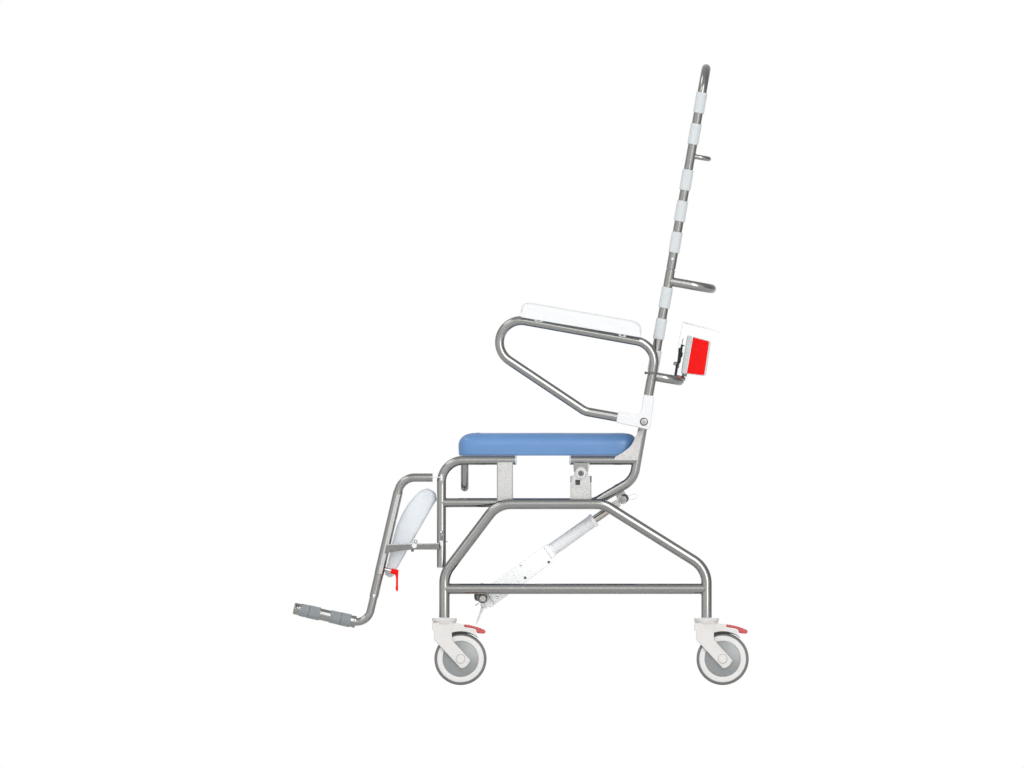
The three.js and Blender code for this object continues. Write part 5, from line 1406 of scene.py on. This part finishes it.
    # foot sling
    def F(x, u, lift=0.0):
        return P(x, u, foot_v(u)) + Vector((0, 0.222, 1)).normalized() * lift
    al = Vector((0, 1, -0.222)).normalized()
    upv = Vector((0, 0.222, 1)).normalized()
    in_x = s * (SEAT_X - 118)
    b = Build()
    b.add(tube([F(X, 293.7), F(X, 320), F(X, 355.6)], 0.0142, 44, ("round", "open"), edge=0.0028, bore=0.0120, depth=0.006))
    b.add(tube([F(in_x, 296), F(in_x, 325), F(in_x, 353)], 0.0095, 36, ("dome", "dome")))
    for u in (297.6, 351.6):
        b.add(tube([F(X - s * 8, u), F((X + in_x) / 2, u), F(in_x + s * 4, u)], 0.0065, 28, ("plain", "plain")))
        b.add(weld(F(X, u), EX * -s, al, 0.0065, 0.0142, 0.0011), 1)
        b.add(weld(F(in_x, u), EX * s, al, 0.0065, 0.0095, 0.0011), 1)
    # dark disc near the front end standing for a cross hole, painted shade of its depth, with a smaller bright disc in
    # it: a painted highlight of the tube inside
    b.add(turn_x([(0, 235.2), (4.3, 235.2), (4.3, 236.35), (3.4, 236.35), (3.0, 235.8), (0, 235.8)], 297.2, 606.9, s, 32), 2)
    b.add(turn_x([(0, 235.7), (2.3, 235.7), (2.3, 236.3), (1.6, 236.6), (0, 236.7)], 297.5, 607.6, s, 24), 3)
    # collar where the spindle enters
    b.add(tube([F(X, 353.2), F(X, 355.7)], 0.0148, 44, ("round", "round"), edge=0.0006), 0)
    piece(f"sling_frame_{name}", b, [STEEL, WELD, DARK, BOLT], f"foot_{name}", [f"footplate_{name}"], 45)

    for bi, (u0, u1, us) in enumerate(((300, 319.8, 309.0), (330, 350.5, 341.0))):
        def belt(um, extra):
            Ra, Rb, d = 0.0142 + 0.00075 + extra, 0.0095 + 0.00075 + extra, 0.118
            ph = math.acos((Ra - Rb) / d)
            pts = []
            ca, cb = F(X, um), F(in_x, um)
            for k in range(25):
                w = ph - 2 * ph * k / 24
                pts.append(ca + EX * (s * Ra * math.cos(w)) + upv * (Ra * math.sin(w)))
            n0, n1 = pts[-1], cb + EX * (s * Rb * math.cos(-ph)) + upv * (Rb * math.sin(-ph))
            for k in range(1, 12):
                t = k / 12
                pts.append(n0.lerp(n1, t) + upv * (0.0012 * math.sin(math.pi * t)))
            for k in range(19):
                w = -ph - (2 * math.pi - 2 * ph) * k / 18
                pts.append(cb + EX * (s * Rb * math.cos(w)) + upv * (Rb * math.sin(w)))
            n0, n1 = pts[-1], pts[0]
            for k in range(1, 12):
                t = k / 12
                pts.append(n0.lerp(n1, t) - upv * (0.0035 * math.sin(math.pi * t)))
            return pts
        b = Build()
        um = (u0 + u1) / 2
        wd = (F(X, u1) - F(X, u0)).length
        part, place = rib(belt(um, 0.0), al, wd, 0.0013, closed=True, across=8)
        b.add(part, 0, place)
        # the second turn of the webbing, ending in a folded edge
        um2 = (us + u1) / 2
        wd2 = (F(X, u1) - F(X, us)).length - 0.0006
        part, place = rib(belt(um2 + 0.05, 0.0007), al, wd2, 0.0009, closed=True, across=6)
        b.add(part, 0, place)
        for uu, ex in ((u0 + 0.35, 0.0), (us + 0.35, 0.0007), (u1 - 0.35, 0.0007)):
            b.add(loop_tube(belt(uu, ex), 0.00085, 8), 0)
        # dark ring along the step at the edge of the second turn: painted shade under the overlap
        b.add(loop_tube(belt(us - 0.1, 0.0003), 0.0007, 8), 2)
        # rows of stitches on top
        for uu in (um - 2.0, um + 6.0):
            line = [F(in_x + s * t, uu, 0.0111) for t in (30, 44, 58)]
            b.add(stitches(line, upv), 1)
        piece(f"sling_band_{name}_{bi + 1}", b, [FOOTWEB, THREAD, DARK], f"foot_{name}", (), 60)

    # calf pad: moulded shell, hollowed across its width
    calf = [[428, 488], [421.2, 490], [415.4, 495], [407.2, 505], [401.4, 515], [396.6, 526], [392.6, 540], [389.2, 556],
            [385.6, 570], [384.5, 574.6], [390.3, 578], [394.3, 575.1], [397.7, 567.5], [433.42, 505], [437, 500], [435.6, 493.2]]
    base_o = rounded(uv(calf), [0.012, 0.02, 0.03, 0.05, 0.05, 0.06, 0.06, 0.06, 0.03, 0.004, 0.006, 0.006, 0.02, 0.01, 0.008, 0.012], 6)
    if area2(base_o) < 0:
        base_o = base_o[::-1]
    lp0, lp1 = Vector(uv([[397.7, 567.5]])[0]), Vector(uv([[433.42, 505]])[0])
    ld = (lp1 - lp0).normalized()
    ln = Vector((-ld.y, ld.x))
    if ln.x > 0:
        ln = -ln
    secs = []
    xa, xb = 96.0, 204.0
    stations = [0.0]
    for k in range(1, 7):
        stations.append(9.0 * (1 - math.cos(math.pi / 2 * k / 6)))
    stations += [14, 22, 32, 43, 54]
    stations = [xa + q for q in stations] + [xb - q for q in stations[:-1][::-1]]
    for x in stations:
        e = min(x - xa, xb - x)
        d = 0.0085 * (1 - math.sqrt(max(0.0, 1 - (1 - min(e, 9.0) / 9.0) ** 2)))
        poly = inset(base_o, d) if d > 1e-6 else base_o
        q = (x - 150.0) / 45.0
        dish = 0.011 * max(0.0, 1 - q * q)
        ring = []
        for a, c in poly:
            away = (Vector((a, c)) - lp0).dot(ln)
            wgt = sm(away, 0.006, 0.030)
            ring.append(Vector((s * x * MM, a - ln.x * dish * wgt, c - ln.y * dish * wgt)))
        secs.append(ring)
    b = Build()
    b.add(skin(secs))
    cp = piece(f"calf_shell_{name}", b, [CALF], f"calf_{name}", [f"calf_pad_{name}"], 60)
    b = Build()
    b.add(side([[402, 541], [413, 542.4], [416.4, 543.9], [417.2, 546.5], [415, 549.3], [401, 551]], s * 184, s * 200, [0.002, 0.003, 0.004, 0.004, 0.004, 0.002], bevel=0.0015, seg=3), 0)
    b.add(turn_x([(0, 198), (4, 198), (4, 231.8), (3.4, 232.5), (0, 232.5)], 414.2, 546, s, 28), 1)
    b.add(hex_x(200.2, 414.2, 546, s, 10.2, 4.0), 1)
    b.add(turn_x([(4.2, 204.2), (6.9, 204.2), (7.1, 204.4), (7.1, 205.4), (6.9, 205.6), (4.2, 205.6)], 414.2, 546, s, 36), 1)
    ringpts = [P(s * 206.4, 415.6 + 1.5 * math.cos(w), 541.5 + 1.5 * math.sin(w)) for w in [math.pi * 2 * k / 24 for k in range(24)]]
    b.add(loop_tube(ringpts, 0.0009, 8), 2)
    piece(f"calf_mount_{name}", b, [MOULD, BOLT, SCREW], f"calf_{name}", (), 40)

    # clamp lever
    def Lp(d, w):
        return [hanger_u(568.4) + ACR[0] * d - ACR[1] * w, 568.4 + ACR[1] * d + ACR[0] * w]
    b = Build()
    b.add(tube([P(X, *Lp(11, 0)), P(X, *Lp(15, 0)), P(X, *Lp(18.3, 0))], 0.0066, 40, ("round", "round"), edge=0.0014))
    b.add(tube([P(X, *Lp(18.0, 0)), P(X, *Lp(18.9, 0))], 0.0018, 24, ("plain", "round")), 1)
    b.add(side([[394.0, 570.4], [398.4, 571.4], [398.1, 580], [398.2, 590.4], [397.4, 591.3], [396.3, 590.9], [395.4, 588.6], [395.9, 585.6], [396.0, 578], [394.6, 573.2]],
               s * 218.2, s * 225.8, [0.001, 0.001, 0.02, 0.001, 0.001, 0.001, 0.004, 0.006, 0.01, 0.006], bevel=0.0018, seg=4), 0)
    # grooves round the hub
    for d in (12.8, 14.6):
        c = P(X, *Lp(d, 0))
        axd = (P(X, *Lp(13, 0)) - P(X, *Lp(7, 0))).normalized()
        b.add(lathe([(0.0062, -0.0003), (0.00685, -0.0003), (0.00685, 0.0003), (0.0062, 0.0003)], c, axd, 40, closed=True), 0)
    piece(f"clamp_{name}", b, [RED, BOLT], f"lever_{name}", [f"clamp_lever_{name}"], 40)

# ------------------------------------------------------------------ tilt actuator
du, dv = UP[0] - LOW[0], LOW[1] - UP[1]
LEN, PITCH = math.hypot(du, dv), math.atan2(dv, du)
A1 = Vector((0, math.cos(PITCH), math.sin(PITCH)))
A2 = Vector((0, -math.sin(PITCH), math.cos(PITCH)))
AO = P(ACT_X, *LOW)
ABASIS = (A1, A2, EX, AO)


def A(u, v):
    a, c = u - LOW[0], LOW[1] - v
    return ((a * math.cos(PITCH) + c * math.sin(PITCH)) * UNIT, (-a * math.sin(PITCH) + c * math.cos(PITCH)) * UNIT)


def S(q, x=0.0, h=0.0):
    return AO + A1 * (q * UNIT) + A2 * (h * UNIT) + EX * (x * MM)


def aslab(pts, x0, x1, r=0.001, bevel=0.0022, seg=4, holes=()):
    return slab(rounded(pts, r, 6), x0 * MM, x1 * MM, holes, bevel, seg, ABASIS)


U = UNIT
top_l, top_r = A(491.9, 583.6), A(545.3, 545.4)
bot_r, bot_l = A(552, 562.6), A(490.4, 608.0)


def top_h(q):
    return top_l[1] + (top_r[1] - top_l[1]) * (q * U - top_l[0]) / (top_r[0] - top_l[0])


def bot_h(q):
    return bot_l[1] + (bot_r[1] - bot_l[1]) * (q * U - bot_l[0]) / (bot_r[0] - bot_l[0])


b = Build()
s1, s2, s3 = 7.4, 38.8, 79.0
b.add(aslab([(top_l[0], top_l[1]), (s1 * U, top_h(12) - 0.012), (s1 * U, bot_h(s1)), (s2 * U - 0.0003, bot_h(s2)), (s2 * U - 0.0003, top_h(s2))], -28, 28,
            [0.010, 0.006, 0.0006, 0.0004, 0.0004], bevel=0.0018))
b.add(aslab([(s2 * U + 0.0003, bot_h(s2)), (77.3 * U, bot_h(77.3)), (78.7 * U, -8.4 * U), (s3 * U, -7.8 * U), (s3 * U, top_h(s3)), (s2 * U + 0.0003, top_h(s2))], -28, 28,
            [0.0004, 0.003, 0.002, 0.0004, 0.0004, 0.0004], bevel=0.0018))
# tab under the collar
b.add(aslab([(73.0 * U, -10.4 * U), (78.6 * U, -10.2 * U), (79.2 * U, -7.6 * U), (73.0 * U, -7.4 * U)], -20, 20, 0.001, bevel=0.0012, seg=3))
# end collar, rounded over
b.add(aslab([(s3 * U + 0.0003, -7.4 * U), (82.9 * U, -7.3 * U), (84.5 * U, -6.2 * U), (84.7 * U, 5.8 * U), (83.4 * U, 7.2 * U), (s3 * U + 0.0003, 7.5 * U)],
            -25.4, 25.4, [0.0006, 0.003, 0.004, 0.004, 0.003, 0.0006], bevel=0.0040, seg=6))
# foot bracket with its eye and the plug housing below
b.add(aslab([(s1 * U - 0.0005, bot_h(s1)), (s1 * U - 0.0005, 3.2 * U), (-1.6 * U, 4.2 * U), (-4.3 * U, 2.2 * U), (-5.2 * U, -1.0 * U), (-3.8 * U, -5.2 * U), (0.2 * U, -10.0 * U), (1.0 * U, -11.9 * U)],
            -13.0, 13.0, [0.0006, 0.0006, 0.008, 0.008, 0.01, 0.01, 0.003, 0.003], bevel=0.0020,
            holes=[[(0.0048 * math.cos(2 * math.pi * k / 28), 0.0048 * math.sin(2 * math.pi * k / 28)) for k in range(28)]]))
# outer tube with its flange
b.add(tube([S(80), S(100), S(134.4)], 0.0154, 48, ("plain", "round")), 1)
b.add(tube([S(133.6), S(137)], 0.0170, 48, ("round", "round"), edge=0.0012), 0)
b.add(tube([S(83.5), S(86.0)], 0.0162, 48, ("plain", "round"), edge=0.0008), 0)
# cover screws
for u, v, m in ((520.6, 565.8, 3), (525.1, 577.8, 2), (548.8, 562.1, 2), (497.3, 597.3, 3)):
    q = A(u, v)
    c = AO + A1 * q[0] + A2 * q[1]
    b.add(lathe([(0, 0.0276), (0.0034, 0.0276), (0.0034, 0.02815), (0.0030, 0.0283), (0.0026, 0.0281), (0, 0.0281)], c, EX, 28), m)
    b.add(lathe([(0, 0.0276), (0.0034, 0.0276), (0.0034, 0.02815), (0.0030, 0.0283), (0.0026, 0.0281), (0, 0.0281)], c, -EX, 28), m)
piece("actuator_body", b, [CASE, JACKET, SCREW, BOLT], "actuator", ["actuator_housing"], 40)
# cable plug with its ribbed, tapered relief
b = Build()
q0, q1 = P(ACT_X, 483.6, 605.2), P(ACT_X, 476.2, 624.2)
d = (q1 - q0).normalized()
prof = [(0, 0), (0.0062, 0), (0.0066, 0.0006), (0.0064, 0.0036), (0.0050, 0.0052), (0.0042, 0.0060)]
h = 0.0072
r = 0.0038
while h < (q1 - q0).length - 0.003:
    prof += [(r, h), (r, h + 0.0014), (r - 0.0007, h + 0.0017), (r - 0.0007, h + 0.0023)]
    h += 0.0026
    r -= 0.00016
prof += [(r - 0.0004, (q1 - q0).length - 0.0006), (r - 0.0009, (q1 - q0).length), (0, (q1 - q0).length)]
b.add(lathe(prof, q0, d, 32))
b.add(side([[479.7, 605.2], [484.2, 600.6], [487.2, 603.2], [486.9, 609.4]], ACT_X - 9, ACT_X + 9, 0.0012, bevel=0.0012, seg=3), 0)
b.add(tube([P(ACT_X + 4, 478.6, 603.2), P(ACT_X + 4, 475.3, 605.6)], 0.0009, 10, ("dome", "dome")), 1)
piece("actuator_plug", b, [RELIEF, SCREW], "actuator", (), 40)

b = Build()
b.add(tube([S(112), S(140), S(163)], 0.00975, 44, ("plain", "round")), 0)
b.add(aslab([(159.6 * U, -9.3 * MM), (167.0 * U, -9.3 * MM), (167.0 * U, 9.3 * MM), (159.6 * U, 9.3 * MM)], -8.5, 8.5, 0.001, bevel=0.0008, seg=2), 1)
eye = [(LEN * U + 11.4 * MM * math.cos(2 * math.pi * k / 44), 11.4 * MM * math.sin(2 * math.pi * k / 44)) for k in range(44)]
eh = [(LEN * U + 7.6 * MM * math.cos(2 * math.pi * k / 36), 7.6 * MM * math.sin(2 * math.pi * k / 36)) for k in range(36)]
b.add(slab(eye, -8.5 * MM, 8.5 * MM, [eh], 0.0007, 2, ABASIS), 1)
b.add(tube([S(157.4), S(159.9)], 0.0104, 44, ("round", "round"), edge=0.0006), 1)
piece("actuator_spindle", b, [WARM, BOLT], "actuator_rod", ["actuator_rod"], 40)

# ------------------------------------------------------------------ control box, battery, cover
# dark strip running down from the cover's lower end: painted shade standing for the part of the sheet that lies in
# shadow
strip_ = [[673.9, 376.6], [676.9, 374.9], [678.9, 363.5], [680.0, 363.7], [683.2, 344.7], [681.0, 344.3], [680.2, 349],
          [678.6, 348.8], [678.2, 351.2], [679.8, 351.5], [678.1, 361.8], [676.4, 361.8]]
foot_ = [[673.9, 376.6], [676.9, 374.9], [684.6, 376.5], [683.4, 381.8], [677, 382.5]]
b = Build()
b.add(side(strip_, -24, 24, 0.0006, bevel=0.0005, seg=2), 0)
b.add(side(foot_, -24, 24, [0.001, 0.001, 0.002, 0.003, 0.003], bevel=0.0006, seg=2), 0)
b.add(side([[678.8, 347.6], [682.7, 348.2], [682.2, 352.4], [683.0, 352.6], [682.3, 357.4], [681.4, 357.2], [680.6, 362.6], [677.2, 361.8]], -23, 23, 0.0006, bevel=0.0006, seg=2), 0)
b.add(side([[678.4, 349.6], [680.4, 349.9], [680.1, 351.7], [678.1, 351.4]], -24.6, 24.6, 0.0004, bevel=0.0004, seg=2), 0)
for x in (-14, 14):
    b.add(tube([P(x, 683.6, 379.0), P(x, 685.4, 379.4)], 0.0040, 24, ("plain", "round")), 1)
b.add(tube([P(22.6, 681.9, 345.4), P(22.6, 682.3, 342.0), P(22.6, 682.7, 339.6), P(22.6, 683.4, 338.8)], 0.0009, 10, ("dome", "dome")), 1)
b.add(side([[681.2, 344.6], [684.6, 345.2], [684.5, 346.4], [681.0, 345.8]], -20, 20, 0.0004, bevel=0.0004, seg=2), 0)
b.add(tube([P(22.6, 678.9, 362.8), P(22.6, 679.0, 365.6), P(22.6, 678.6, 367.9)], 0.0009, 10, ("dome", "dome")), 1)
b.add(lathe([(0, 0.0), (0.0044, 0.0), (0.0048, 0.0004), (0.0048, 0.0016), (0.0042, 0.0022), (0.0016, 0.0022), (0, 0.0018)], P(24.0, 675.2, 363.6), EX, 32), 2)
piece("box_mount", b, [DARK, BOLT, CLEVIS], "seat", ["box_bracket"], 40)

b = Build()
b.add(side([[687.2, 335.4], [692.6, 336.4], [686.0, 374.4], [680.9, 373.5]], -105, 105, [0.003, 0.003, 0.003, 0.003], bevel=0.0035, seg=5))
# raised lid edge, knob and lower connectors
b.add(side([[686.6, 339.4], [688.0, 339.6], [682.9, 369.8], [681.4, 369.6]], -97, 97, 0.0008, bevel=0.0012, seg=3))
b.add(lathe([(0, -0.001), (0.0034, -0.001), (0.0036, 0.0002), (0.0032, 0.0007), (0, 0.0008)], P(105.0, 684.6, 363.2), EX, 32), 0)
for x in (-70, -35, 0, 35, 70):
    b.add(tube([P(x, 684.6, 373.0), P(x, 684.2, 376.4)], 0.0062, 28, ("plain", "round"), edge=0.0008), 1)
piece("controller", b, [BOX, HUB], "seat", ["control_box"], 40)

b = Build()
bat = [[693.1, 336.7], [708.9, 340.8], [711.0, 342.4], [706.0, 374.9], [704.0, 376.0], [686.6, 374.0]]
b.add(side(bat, -97.2, 97.2, [0.001, 0.004, 0.003, 0.004, 0.003, 0.001], bevel=0.0016, seg=4), 1)
face = [[693.1, 337.3], [708.3, 341.2], [709.1, 342.6], [704.4, 374.1], [703.2, 375.2], [686.7, 373.2]]
for q in (1, -1):
    b.add(side(face, q * 95.0, q * 98.0, [0.002, 0.004, 0.003, 0.004, 0.003, 0.002], bevel=0.0012, seg=4), 0)
b.add(side([[694.2, 336.9], [708.0, 340.7], [707.9, 341.2], [694.0, 337.5]], -80, 80, 0.0003, bevel=0.0003, seg=1), 0)
# release grip
b.add(side([[707.2, 350.0], [709.6, 350.4], [708.3, 358.8], [705.9, 358.4]], -30, 30, 0.002, bevel=0.0015, seg=3), 1)
piece("battery", b, [RED, BOX], "seat", ["battery_pack"], 40)

b = Build()
cov = [[677.2, 350], [682.3, 321.9], [682.9, 321.5], [720.9, 331.1], [720.7, 331.9], [683.1, 322.6], [678.0, 350.1]]
v, f = side(cov, -118, 118, [0, 0.0004, 0.0006, 0.0002, 0.0002, 0.0004, 0], bevel=0.0003, seg=1)
b.add((v, f))
# dark hem along the free edge
b.add(tube([P(-116, 720.5, 331.6), P(0, 720.5, 331.6), P(116, 720.5, 331.6)], 0.0011, 12, ("dome", "dome")), 1)
for q in (-1, 1):
    b.add(side([[683.0, 322.2], [720.7, 331.7], [720.4, 332.9], [683.2, 323.4]], q * 117.4, q * 118, 0.0003, bevel=0.0002, seg=1))
piece("cover", b, [SHEET, CLEVIS], "seat", ["splash_cover"], 40)
